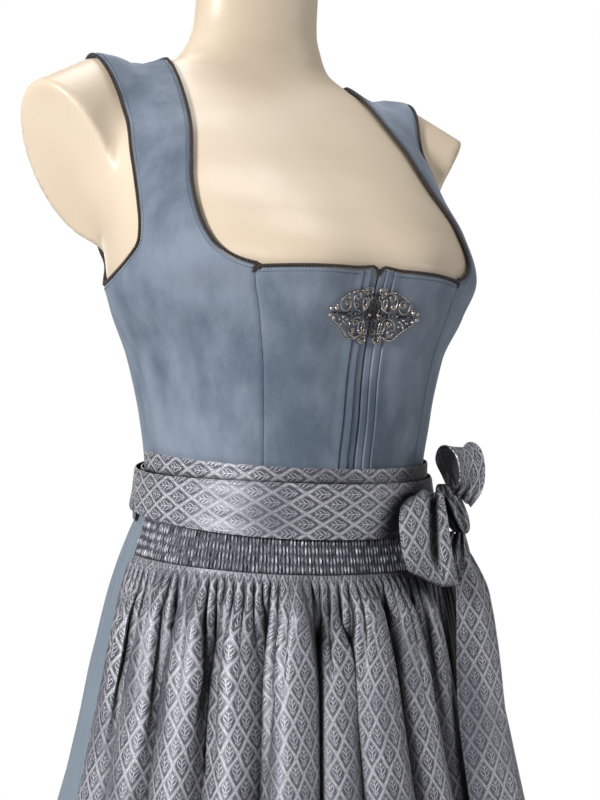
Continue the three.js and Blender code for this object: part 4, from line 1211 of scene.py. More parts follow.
PRINCESS = table("x z", [(68, 0), (71, 36), (76, 87), (83.5, 123), (93, 158.5)])
SIDE_SEAM = [(117.5, 12, 0), (124, 10, 50), (138, 10, 100), (154, 15, 132), (156, 25, 157)]
BACK_PRINCESS = [(62, 119, 0), (70, 120, 45), (88, 109, 100), (115, 97, 150), (146, 82, 188)]
NECK = [
    (93, -118, 158.5), (103, -112, 161.5), (113, -105, 167.5), (120, -97, 176), (124.5, -86, 190),
    (124.5, -70, 211), (121.5, -54, 234), (115, -38, 257), (108, -20, 285), (102, 7, 317), (98, 34, 345),
    (95, 62, 367),
]
BACK_NECK = [
    (95, 62, 367), (92, 86, 356), (88, 108, 335), (84, 125, 300), (80, 138, 262), (70, 142, 230),
    (50, 140, 208), (25, 137, 198), (0, 136, 195),
]
ARMHOLE = [
    (156, 25, 157), (157, -4, 160.5), (158, -30, 169), (158, -43, 181), (156.5, -42, 195),
    (153.5, -32, 217), (151.5, -20, 237), (149, -5, 262), (147, 8, 287), (149, 24, 313), (155, 42, 338),
    (158, 62, 352),
]
BACK_ARMHOLE = [
    (158, 62, 352), (154, 84, 347), (146, 106, 325), (139, 118, 290), (137, 120, 255), (140, 112, 222),
    (146, 82, 188),
]
UNDERARM = [(146, 82, 188), (152, 62, 170), (155, 44, 160), (156, 25, 157)]
TOP_CORNER = table("x z", [(0.6, 153.5), (2.4, 158), (5.5, 160.6), (10, 160), (24, 158.8), (93, 158.5)])

# The two pressed tucks beside the closure, and how far the velvet stands up along them.
TUCK_RISE = table(
    "x rise",
    [
        (0.6, -0.3), (1.6, 0.1), (6.3, 0.0), (7.0, -0.7), (7.6, 1.3), (9.0, 1.2), (13.6, 0.1), (14.3, -0.7),
        (14.9, 1.3), (16.5, 1.1), (22.0, 0.0), (30.0, 0.0),
    ],
)

# Soft creases in the velvet: one end, the other end, width and depth.
CREASES = table(
    "x1 y1 z1 x2 y2 z2 width depth",
    [
        (-141, -50, 96, -124, -86, 108, 7, -0.9), (-143, -38, 128, -146, -30, 112, 4, -0.8),
        (-140, -45, 93, -139, -52, 84, 4, -0.7), (-128, -66, 40, -100, -98, 30, 9, -0.9),
        (128, -62, 44, 104, -94, 34, 9, -0.9), (-130, 60, 62, -96, 96, 50, 8, -1.0),
        (130, 60, 58, 100, 95, 70, 8, -1.0), (-60, 118, 28, 58, 119, 22, 10, -1.1),
        (-50, 121, 74, 30, 123, 80, 9, -0.8), (141, -48, 100, 126, -84, 112, 7, -0.8),
        (-30, -125, 36, -58, -117, 44, 8, -0.6), (34, -124, 30, 62, -114, 40, 8, -0.6),
    ],
)


def mirrored(points: Array, side: Side) -> Array:
    """Points of the wearer's left, or their mirror image."""
    return points * np.array([side.value, 1.0, 1.0])


def between(a: Array, b: Array, share: Array) -> Array:
    """Points between two edges, along round paths about the bodice's own axis.

    Args:
        a: Points of one edge.
        b: Points of the other edge.
        share: How far each point lies from a to b.

    Returns:
        The points, settled on the figure.
    """
    angle_a = np.arctan2(a[..., 0], AXIS_Y - a[..., 1])
    angle_b = np.arctan2(b[..., 0], AXIS_Y - b[..., 1])
    radius_a = np.hypot(a[..., 0], a[..., 1] - AXIS_Y)
    radius_b = np.hypot(b[..., 0], b[..., 1] - AXIS_Y)
    turn = angle_b - angle_a
    turn = turn - 2 * np.pi * np.round(turn / (2 * np.pi))
    angle = angle_a + turn * share
    radius = lerp(radius_a, radius_b, share)
    z = lerp(a[..., 2], b[..., 2], share)
    p = np.stack([radius * np.sin(angle), AXIS_Y - radius * np.cos(angle), z], -1)
    return FIGURE.settle(p)


def crease_relief(points: Array) -> Array:
    """How far the creases raise or lower each point of the cloth.

    Args:
        points: Points on the figure.

    Returns:
        A height for each point.
    """
    relief = np.zeros(points.shape[:-1])
    count = len(CREASES["width"])
    for k in range(count):
        a = np.array([CREASES[n][k] for n in ("x1", "y1", "z1")])
        b = np.array([CREASES[n][k] for n in ("x2", "y2", "z2")])
        way = b - a
        t = np.clip((points - a) @ way / (way @ way), 0, 1)
        gap = np.linalg.norm(points - (a + t[..., None] * way), axis=-1)
        width = CREASES["width"][k] * (0.5 + 0.5 * np.sin(np.pi * (0.15 + 0.7 * t)))
        relief += CREASES["depth"][k] * bell(gap, width)
    return relief


def nap_relief(points: Array) -> Array:
    """Slow, slight unevenness of cloth that is worn and not pressed."""
    x, y, z = points[..., 0], points[..., 1], points[..., 2]
    waves = np.sin(x / 17 + z / 31) * np.sin(z / 23 - y / 19) + 0.6 * np.sin(z / 11 + x / 27 + y / 13)
    return 0.16 * waves


@dataclass
class Bodice:
    """The velvet bodice: seven panels, their braid, zip and top-stitching."""

    top_end: float = 93.0
    turn_neck: float = 0.2
    turn_arm: float = 0.36
    root_neck: float = 0.5
    root_arm: float = 0.62
    crest_gap: float = 0.002
    coarse_bands: int = 8
    root_bands: int = 3
    side_back_width: float = 80.0
    back_width: float = 150.0
    seam_depth: float = 1.0
    seam_width: float = 1.25
    braid_radius: float = 1.5
    braid_gap: float = 0.45
    braid_pitch: float = 5.2
    stitch_inset: float = 2.6
    zip_half: float = 8.0
    zip_top: float = 152.0
    edges: dict[str, Edge] = field(default_factory=dict)

    def __post_init__(self) -> None:
        """Lays the edges on the figure."""
        self.edges = {
            "neck": Edge(NECK), "arm": Edge(ARMHOLE), "back_neck": Edge(BACK_NECK),
            "back_arm": Edge(BACK_ARMHOLE), "underarm": Edge(UNDERARM),
            "back_princess": Edge(BACK_PRINCESS), "side": Edge(SIDE_SEAM),
        }

    def top(self, x: Array) -> Array:
        """The height of the top edge at a distance from the centre line."""
        return monotone(TOP_CORNER["x"], TOP_CORNER["z"], np.asarray(x, float))

    def princess(self, z: Array) -> Array:
        """The princess seam's distance from the centre line at a height."""
        return monotone(PRINCESS["z"], PRINCESS["x"], np.asarray(z, float))

    def panel(
        self, name: str, points: Array, rise: Array | float = 0.0, sewn: Sequence[str] = ("start", "end"),
        keep: Optional[Array] = None, flat: tuple[float, float, float] = (0.1, 0.2, 0.5),
    ) -> None:
        """Makes one velvet panel from its grid of points on the figure.

        Args:
            name: The panel's node.
            points: Points on the figure, rows by columns.
            rise: Extra relief of the outer face.
            sewn: Which of the grid's edges are seams.
            keep: Which cells hold cloth.
            flat: The cut's width and length in metres, and its share of that rectangle; not used.
        """
        normal = FIGURE.normal(points)
        gap = from_edges(points)
        relief = rise + nap_relief(points) + crease_relief(points)
        for edge in sewn:
            relief = relief - self.seam_depth * bell(gap[edge], self.seam_width)
        for edge in set(gap) - set(sewn):
            relief = relief - 0.5 * bell(gap[edge], 0.8)
        low, high = LAYER["bodice"]
        outer = points + normal * (high + np.maximum(relief, -1.25))[..., None]
        piece = shell(name + "_velvet", outer, points + normal * low, cloth_uv(points), keep)
        SHOP.dress(piece, "velvet", Slot.VELVET, name)

    def front_centre(self, side: Side) -> None:
        """Makes a front centre panel, with its tucks.

        Args:
            side: The wearer's side that it is for.
        """
        rows = np.linspace(0, 1, 64)[:, None]
        near = [0.6, 0.9, 1.4, 2.2, 3.4, 4.6, 5.6, 6.3, 6.65, 7.0, 7.3, 7.6, 8.2, 9.0, 10.4, 12, 13]
        near += [13.6, 13.95, 14.3, 14.6, 14.9, 15.6, 16.5, 18.2, 20, 22, 24, 26]
        seam = self.princess(rows * self.top(self.top_end)) - SEAM / 2
        share = clustered(20, 66.0)[5:]
        near = np.broadcast_to(near, (len(rows), len(near)))
        x = np.concatenate([near, lerp(26.0, seam, share[None, :])], 1)
        points = FIGURE.front(x, rows * self.top(x))
        rise = monotone(TUCK_RISE["x"], TUCK_RISE["rise"], x)
        rise = rise * (1 - 0.55 * smooth(0.9, 1.0, rows))
        node = f"front_centre_{side.word}"
        self.panel(node, mirrored(points, side), rise, ("end",), flat=(0.13, 0.2, 0.78))

    def shares(self, kind: str, turn: int = 26, strap: int = 76) -> Array:
        """Shares of the neck or armhole edge where the strap's rows end.

        Args:
            kind: The neck or the arm.
            turn: Rows round the edge's low turn.
            strap: Rows up the strap.

        Returns:
            Rising shares.
        """
        split = self.turn_neck if kind == "neck" else self.turn_arm
        lower = np.linspace(0, split, turn + 1)
        upper = np.linspace(split, 1 - self.crest_gap, strap + 1)
        return np.concatenate([lower, upper[1:]])

    def front_side(self, side: Side) -> None:
        """Makes a front side panel with its shoulder strap.

        Args:
            side: The wearer's side that it is for.
        """
        rows = np.linspace(0, 1, 62)
        z = rows * self.top(self.top_end)
        low_inner = FIGURE.front(self.princess(z) + SEAM / 2, z)
        inner = np.concatenate([low_inner, self.edges["neck"](self.shares("neck")[1:])])
        outer = np.concatenate([self.edges["side"](rows), self.edges["arm"](self.shares("arm")[1:])])
        share = clustered(22, 75.0)
        seam = SEAM / 2 / np.linalg.norm(inner - outer, axis=1)
        reach = np.where(np.arange(len(inner)) < len(rows), 1 - seam, 1.0)
        spread = share[None, :] * reach[:, None]
        points = between(inner[:, None], outer[:, None], spread)
        node = f"front_side_{side.word}"
        self.panel(node, mirrored(points, side), flat=(0.2, 0.46, 0.42))

    def patch(self, low: Line, high: Line, left: Line, right: Line, v: Array, u: Array) -> Array:
        """A patch between four edges, spread evenly about the bodice's axis.

        Args:
            low: The lower edge, by its share.
            high: The upper edge.
            left: The edge at share 0 of the width.
            right: The edge at share 1 of the width.
            v: The rows' shares of the height.
            u: The columns' shares of the width.

        Returns:
            Points on the figure, rows by columns.
        """
        def polar(p: Array) -> Array:
            """Angle, radius and height about the bodice's axis."""
            y = p[..., 1] - AXIS_Y
            return np.stack([np.arctan2(p[..., 0], y), np.hypot(p[..., 0], y), p[..., 2]], -1)

        ends = np.array([0.0, 1.0])
        c00, c10 = polar(low(ends))
        c01, c11 = polar(high(ends))
        U, V = u[None, :, None], v[:, None, None]
        q = (
            polar(low(u))[None] * (1 - V)
            + polar(high(u))[None] * V
            + polar(left(v))[:, None] * (1 - U)
            + polar(right(v))[:, None] * U
            - c00 * (1 - U) * (1 - V)
            - c10 * U * (1 - V)
            - c01 * (1 - U) * V
            - c11 * U * V
        )
        p = np.stack([q[..., 1] * np.sin(q[..., 0]), AXIS_Y + q[..., 1] * np.cos(q[..., 0]), q[..., 2]], -1)
        return FIGURE.settle(p)

    def side_back(self, side: Side) -> None:
        """Makes a side back panel, under the arm.

        Args:
            side: The wearer's side that it is for.
        """
        low = self.edges["side"](np.array([0.0])), self.edges["back_princess"](np.array([0.0]))
        u = lerp(SEAM / 2 / self.side_back_width, 1 - SEAM / 2 / self.side_back_width, clustered(28, 80.0))
        points = self.patch(
            lambda t: between(low[0], low[1], t), lambda t: self.edges["underarm"](1 - t),
            self.edges["side"], self.edges["back_princess"], np.linspace(0, 1, 66), u,
        )
        node = f"side_back_{side.word}"
        self.panel(node, mirrored(points, side), flat=(0.13, 0.2, 0.7))

    def back(self) -> None:
        """Makes the back, one panel with both back straps."""
        strap_share = 0.2
        bands = self.coarse_bands + self.root_bands
        split = self.coarse_bands / bands
        neck, arm = self.edges["back_neck"], self.edges["back_arm"]
        root = neck(np.array([self.root_neck]))

        def arm_root(v: Array) -> Array:
            """The armhole below the strap's root."""
            return arm(lerp(1, self.root_arm, v))

        def right(v: Array) -> Array:
            """The seam, then the armhole, of the wearer's left."""
            seam = self.edges["back_princess"](np.clip(v / split, 0, 1))
            hole = arm_root(np.clip((v - split) / (1 - split), 0, 1))
            return np.where((v <= split)[:, None], seam, hole)

        def low(u: Array) -> Array:
            """The waist between the two seams."""
            start = right(np.array([0.0]))[0]
            reach = np.degrees(np.arctan2(start[0], start[1] - AXIS_Y))
            return FIGURE.around(180 - lerp(-reach, reach, u), np.zeros_like(u))

        def high(u: Array) -> Array:
            """The back neck, and the roots of the straps beside it."""
            half = np.abs(2 * u - 1)
            start = 1 - 2 * strap_share
            middle = neck(lerp(1, self.root_neck, np.clip(half / start, 0, 1)))
            ends = between(root, arm_root(np.array([1.0])), np.clip((half - start) / (1 - start), 0, 1))
            p = np.where((half <= start)[:, None], middle, ends)
            return p * np.stack([np.where(u < 0.5, -1.0, 1.0), np.ones_like(u), np.ones_like(u)], -1)

        strap = clustered(4, 44.0) * strap_share
        strap_columns = len(strap) - 1
        middle = np.linspace(strap_share, 1 - strap_share, 37)[1:-1]
        shares = np.concatenate([strap, middle, (1 - strap)[::-1]])
        narrow = lerp(SEAM / 2 / self.back_width, 1 - SEAM / 2 / self.back_width, shares)
        v = np.concatenate([np.linspace(0, split, 62), np.linspace(split, 1, 24)[1:]])
        points = self.patch(low, high, lambda t: mirrored(right(t), Side.RIGHT), right, v, narrow)
        count = 76
        inner = neck(np.linspace(self.crest_gap, self.root_neck, count)[::-1][1:])
        outer = arm(np.linspace(self.crest_gap, self.root_arm, count)[::-1][1:])
        last = len(shares) - 1
        from_edge = np.minimum(np.arange(last + 1), last - np.arange(last + 1))
        nearest = np.minimum(from_edge, strap_columns)
        across = np.where(from_edge < strap_columns, strap[nearest] / strap_share, 1)
        straps = between(outer[:, None], inner[:, None], across[None, :])
        straps[:, : (last + 1) // 2, 0] *= -1
        rows = len(v)
        points = np.concatenate([points, straps])
        keep = np.ones((len(points) - 1, last), bool)
        keep[rows - 1 :, strap_columns : last - strap_columns] = False
        self.panel("back", points, keep=keep, flat=(0.3, 0.4, 0.48))

    def top_line(self, inset: float = 0.0) -> Array:
        """The top edge from the closure to the princess seam."""
        x = np.concatenate([[1.6, 2.4, 3.6, 5.5, 8.0, 12.0], np.linspace(16, 95, 34)])
        return FIGURE.front(x, self.top(x) - inset)

    def neck_line(self) -> Array:
        """The whole neckline of the wearer's left, from the closure to the middle of the back."""
        front = self.edges["neck"](np.linspace(0, 1 - self.crest_gap, 190))
        behind = self.edges["back_neck"](np.linspace(self.crest_gap, 1, 190))
        return np.concatenate([self.top_line(), front, behind])

    def arm_line(self) -> Array:
        """The whole armhole of the wearer's left."""
        front = self.edges["arm"](np.linspace(0, 1 - self.crest_gap, 150))
        behind = self.edges["back_arm"](np.linspace(self.crest_gap, 1, 150))
        under = self.edges["underarm"](np.linspace(0, 1, 60)[1:-1])
        return np.concatenate([front, behind, under])

    def offset(self, line: Array, sideways: float, out: float, closed: bool) -> Array:
        """Moves a line on the figure sideways and outwards.

        Args:
            line: Points on the figure.
            sideways: Distance across the line, to its right as it runs.
            out: Distance from the figure.
            closed: Whether the line runs back into its start.

        Returns:
            The moved line.
        """
        normal = FIGURE.normal(line)
        if closed:
            along = np.roll(line, -2, 0) - np.roll(line, 2, 0)
        else:
            along = np.gradient(line, axis=0)
        across = unit(np.cross(along, normal))
        return line + across * sideways + normal * out

    def cord(self, line: Array, closed: bool) -> list[Array]:
        """Two strands twisted round each other along a line.

        Args:
            line: The middle of the braid.
            closed: Whether it runs back into its start.

        Returns:
            The two polylines.
        """
        loop = np.concatenate([line, line[:1]]) if closed else line
        steps = np.linalg.norm(np.diff(loop, axis=0), axis=1)
        length = np.concatenate([[0], np.cumsum(steps)])
        turns = max(round(length[-1] / self.braid_pitch), 1)
        count = turns * 8
        at = np.linspace(0, length[-1], count + 1)
        middle = np.stack([np.interp(at, length, loop[:, k]) for k in range(3)], -1)
        along = unit(np.gradient(middle, axis=0))
        normal = FIGURE.normal(middle)
        u = unit(normal - along * np.sum(normal * along, -1, keepdims=True))
        v = np.cross(along, u)
        turn = 2 * np.pi * turns * at / length[-1]
        strands = []
        for start in (0, np.pi):
            a = turn + start
            strands.append(middle + 0.72 * (u * np.cos(a)[:, None] + v * np.sin(a)[:, None]))
        return [s[:-1] for s in strands] if closed else strands

    def braids(self) -> None:
        """Twists the braid along the neckline and round each armhole."""
        middle = sum(LAYER["bodice"]) / 2
        beside = self.braid_radius + self.braid_gap
        half = self.offset(self.neck_line(), -beside, middle, False)
        other = mirrored(half, Side.RIGHT)[::-1]
        line = np.concatenate([half[:-1], other])
        self.twisted("neck_braid_cord", line, False, "neck_braid")
        for side in Side:
            loop = mirrored(self.offset(self.arm_line(), beside, middle, True), side)
            self.twisted(f"armhole_cord_{side.word}", loop, True, f"armhole_braid_{side.word}")

    def twisted(self, name: str, line: Array, closed: bool, node: str) -> None:
        """Makes a braid along a line."""
        strands = self.cord(line, closed)
        SHOP.strung(name, strands, "sweep_braid", Slot.BRAID, (node,), closed, Radius=0.00082, Sides=6)

    def stitches(self) -> None:
        """Sews the top-stitching just inside the neckline and armholes."""
        out = LAYER["bodice"][1] + 0.08
        lines = []
        for side in Side:
            top = self.offset(self.top_line()[5:], self.stitch_inset, out, False)
            front = self.edges["neck"](np.linspace(0.01, 0.998, 170))
            neck = self.offset(front, self.stitch_inset, out, False)
            rear = self.edges["back_neck"](np.linspace(0.002, 1, 170))
            behind = self.offset(rear, self.stitch_inset, out, False)
            arm = self.offset(self.arm_line(), -self.stitch_inset, out, True)
            for line in (top, neck, behind, np.concatenate([arm, arm[:1]])):
                lines.append(mirrored(line, side))
        sizes = {"Pitch": 0.0032, "Length": 0.0023, "Thread": 0.00020}
        SHOP.strung("bodice_top_stitching", lines, "sew_velvet_thread", Slot.VELVET, **sizes)

    def zip(self) -> None:
        """Makes the zip's tape and its row of teeth behind the closure."""
        rows = np.linspace(0, 1, 60)[:, None]
        x = np.linspace(-self.zip_half, self.zip_half, 17)[None, :]
        points = FIGURE.front(np.broadcast_to(x, (60, 17)), np.broadcast_to(rows * self.zip_top, (60, 17)))
        normal = FIGURE.normal(points)
        low, high = LAYER["zip"]
        piece = shell("zip_tape_cloth", points + normal * high, points + normal * low, cloth_uv(points))
        SHOP.dress(piece, "braid", Slot.BRAID, "zip_tape")
        z = np.arange(4, self.zip_top - 2, 0.5)
        line = FIGURE.front(np.zeros_like(z), z)
        line = line + FIGURE.normal(line) * (high + 0.35)
        SHOP.strung("zip_teeth", [line], "teeth", Slot.CLASP, Pitch=0.0015, Width=0.0034)

    def build(self) -> None:
        """Makes every piece of the bodice."""
        for side in Side:
            self.front_centre(side)
            self.front_side(side)
            self.side_back(side)
        self.back()
        self.zip()
        self.braids()
        self.stitches()


# ---- clasp


@dataclass
class Clasp:
    """The openwork clasp: two mirrored halves of scrolls, beads and leaves."""

    centre_z: float = 127.0
    split: float = 1.2
    scroll_radius: float = 0.42
    frame_radius: float = 0.75
    plate: float = 5.15
    bead_step: float = 1.15
    bead_lift: float = 1.55
    bead_radius: float = 0.62
    scroll_lifts: tuple[float, float] = (0.95, 0.35)

    # Lines of the frame and the spine: x outwards from the split, z up from the middle.
    FRAME = (
        ((32.0, 8.2), (26.8, 13.0), (21.5, 16.2), (17.0, 18.3), (12.6, 18.4), (9.6, 16.6)),
        ((36.0, -4.6), (30.2, -8.6), (25.6, -12.3), (22.0, -16.2), (18.4, -18.3), (14.4, -18.2),
         (11.4, -16.2)),
        ((1.0, 16.8), (1.2, 8.0), (0.9, 0.0), (1.2, -8.0), (1.0, -16.8)),
        ((36.5, 0.2), (31.0, 0.0), (24.6, 0.0), (20.6, 2.5)), ((24.6, 0.0), (20.8, -2.5)),
        ((18.8, 0.0), (14.6, 0.0)), ((12.8, 0.0), (3.0, 0.0)), ((3.4, 0.0), (5.2, 4.4)),
        ((3.4, 0.0), (5.6, -4.4)), ((1.6, 2.0), (1.8, 6.4)), ((1.6, -2.0), (1.8, -6.4)),
    )
    # Round scrolls: centre, half width, half height, turns, start angle, how far they wind in.
    SCROLLS = (
        (5.5, 18.3, 3.9, 3.7, 1.6, 300, 0.62), (6.2, -18.5, 3.9, 3.7, -1.6, 60, 0.62),
        (12.6, 9.7, 7.3, 7.4, 1.0, 200, 0.0), (13.4, -9.7, 7.4, 7.4, 1.0, 160, 0.0),
        (26.4, 6.8, 4.7, 5.0, 1.0, 20, 0.0), (24.6, 8.0, 2.6, 2.4, -1.5, 30, 0.7),
        (15.6, 12.9, 3.3, 3.2, 1.7, 40, 0.66), (9.0, 8.6, 1.9, 3.3, 1.0, 90, 0.0),
        (8.2, 5.2, 2.3, 1.8, -1.3, 20, 0.5), (4.3, 12.4, 1.7, 1.7, 1.0, 0, 0.0),
        (17.8, -13.0, 3.3, 3.1, -1.6, 300, 0.64), (10.2, -8.4, 1.9, 3.4, 1.0, 90, 0.0),
        (9.2, -12.4, 2.2, 1.8, 1.3, 200, 0.5), (4.6, -12.8, 1.6, 1.6, 1.0, 0, 0.0),
        (15.6, -6.0, 2.5, 2.0, 1.3, 120, 0.55), (16.8, 6.2, 2.1, 1.8, -1.3, 240, 0.55),
    )
    # Grapes, petals and knobs: place and radius.
    BALLS = (
        (27.3, -2.6, 1.25), (24.2, -4.0, 1.2), (30.2, -4.6, 1.3), (26.8, -5.8, 1.15), (24.0, -7.6, 1.2),
        (28.0, -8.0, 1.2), (34.4, 3.3, 1.9), (38.0, 2.9, 1.7), (38.6, -1.5, 1.8), (35.2, -3.4, 1.8),
        (31.2, 7.2, 0.9), (33.4, 5.4, 0.9), (3.4, 0.0, 1.5), (16.9, 0.0, 0.8), (13.7, 0.0, 0.7),
        (21.2, 0.0, 0.8),
    )

    def place(self, x: Array, z: Array, height: Array | float, side: Side) -> Array:
        """Lays points of the flat clasp on the bust.

        Args:
            x: Distances outwards from the split.
            z: Heights from the clasp's middle.
            height: How far the points stand off the clasp's back.
            side: The half's side.

        Returns:
            The points in the garment's axes.
        """
        base = FIGURE.front(side.value * (np.asarray(x) + self.split / 2), self.centre_z + np.asarray(z))
        lift = np.broadcast_to(self.plate + np.asarray(height), base.shape[:-1])
        return base + FIGURE.normal(base) * lift[..., None]

    def drawn(self, row: Rows, step: float = 0.5) -> Array:
        """A row of points as a smooth flat line with even steps.

        Args:
            row: Points on the flat clasp.
            step: The steps' length.

        Returns:
            The line.
        """
        p = np.array(row, float)
        length = np.concatenate([[0], np.cumsum(np.linalg.norm(np.diff(p, axis=0), axis=1))])
        at = np.linspace(0, length[-1], max(int(length[-1] / step), 3) + 1)
        if len(p) == 2:
            return np.stack([np.interp(at, length, p[:, k]) for k in range(2)], -1)
        return np.stack([monotone(length, p[:, k], at) for k in range(2)], -1)

    def scroll(self, row: Sequence[float]) -> Array:
        """A ring, or a spiral that winds inwards.

        Args:
            row: A row of SCROLLS.

        Returns:
            The line on the flat clasp.
        """
        x, z, half_x, half_z, turns, start, wind = row
        count = max(int(abs(turns) * 30), 24)
        t = np.linspace(0, 1, count + 1)
        angle = np.radians(start) + 2 * np.pi * turns * t
        grow = 1 - wind * t
        return np.stack([x + half_x * grow * np.cos(angle), z + half_z * grow * np.sin(angle)], -1)

    def half(self, side: Side) -> None:
        """Makes one half of the clasp.

        Args:
            side: The wearer's side that it is for.
        """
        heavy, fine, beads, sizes = [], [], [], []
        for k, row in enumerate(self.FRAME):
            line = self.drawn(row)
            heavy.append(self.place(line[:, 0], line[:, 1], self.frame_radius, side))
            if k < 2:
                beaded = self.drawn(row, self.bead_step)
                beads.append(self.place(beaded[:, 0], beaded[:, 1], self.bead_lift, side))
                sizes.append(np.full(len(beaded), self.bead_radius))
        for row in self.SCROLLS:
            line = self.scroll(row)
            for lift in self.scroll_lifts:
                fine.append(self.place(line[:, 0], line[:, 1], lift, side))
        balls = np.array(self.BALLS)
        beads.append(self.place(balls[:, 0], balls[:, 1], 0.45 + 0.55 * balls[:, 2], side))
        sizes.append(balls[:, 2])
        frame_wire = wires(f"clasp_frame_{side.word}", heavy)
        baked(frame_wire, SHOP.trees["sweep_oxide"], Radius=self.frame_radius * 0.001, Sides=8)
        scrolls = wires(f"clasp_scrolls_{side.word}", fine)
        baked(scrolls, SHOP.trees["sweep_silver"], Radius=self.scroll_radius * 0.001, Sides=7)
        points = np.concatenate(beads)
        mesh = bpy.data.meshes.new("beads")
        mesh.from_pydata(into_frame(points).tolist(), [], [])
        sized = mesh.attributes.new("bead", "FLOAT", "POINT")
        sized.data.foreach_set("value", (np.concatenate(sizes) * 0.001).astype(np.float32))
        dots = placed(f"clasp_beads_{side.word}", mesh)
        baked(dots, SHOP.trees["beads"])
        for polygon in dots.data.polygons:
            polygon.use_smooth = True
        piece = merged(f"clasp_half_{side.word}", [frame_wire, scrolls, dots])
        SHOP.dress(piece, "", Slot.CLASP, f"clasp_{side.word}")

    def build(self) -> None:
        """Makes both halves."""
        for side in Side:
            self.half(side)


# ---- skirt


def from_front(angle: Array) -> Array:
    """How far an angle round the waist lies from the front, whichever way."""
    return np.abs((angle + 540) % 360 - 180)


def fold_reach(angle: Array, z: Array) -> Array:
    """How far the skirt's folds stand out, and with them the line that just covers them."""
    depth = lerp(1.5, 19.0, -z / SKIRT_LENGTH)
    shown = lerp(0.12, 1.0, smooth(66, 104, from_front(angle)))
    return depth * shown * smooth(26, 100, -z)


def leaning(points: Array, reach: Array, lean: float) -> Array:
    """Rounds the crests of folds and narrows their troughs.

    Args:
        points: The plain surface, rows by columns.
        reach: How far the cloth stands out at each point.
        lean: How far cloth moves sideways for each unit of slope, in millimetres.

    Returns:
        The points moved out and sideways.
    """
    way = HANG.level(points)
    moved = points + way * reach[..., None]
    along = unit(np.gradient(points, axis=1))
    step = np.maximum(np.linalg.norm(np.gradient(points, axis=1), axis=-1), 1e-6)
    slope = np.gradient(reach, axis=1) / step
    bend = np.gradient(slope, axis=1) / step
    room = np.where(bend > 0, np.minimum(lean, 0.8 / np.maximum(bend, 1e-6)), lean)
    shift = -np.clip(slope, -2, 2) * np.minimum(room, lean)
    return moved + along * shift[..., None]


def hem_roll(rows: Array, depth: float = 0.9) -> Array:
    """The soft ridge of a turned hem and the dent of its stitching, by distance from the edge."""
    return 0.5 * bell(rows, 3.0) - depth * bell(rows - 30.0, 1.6)


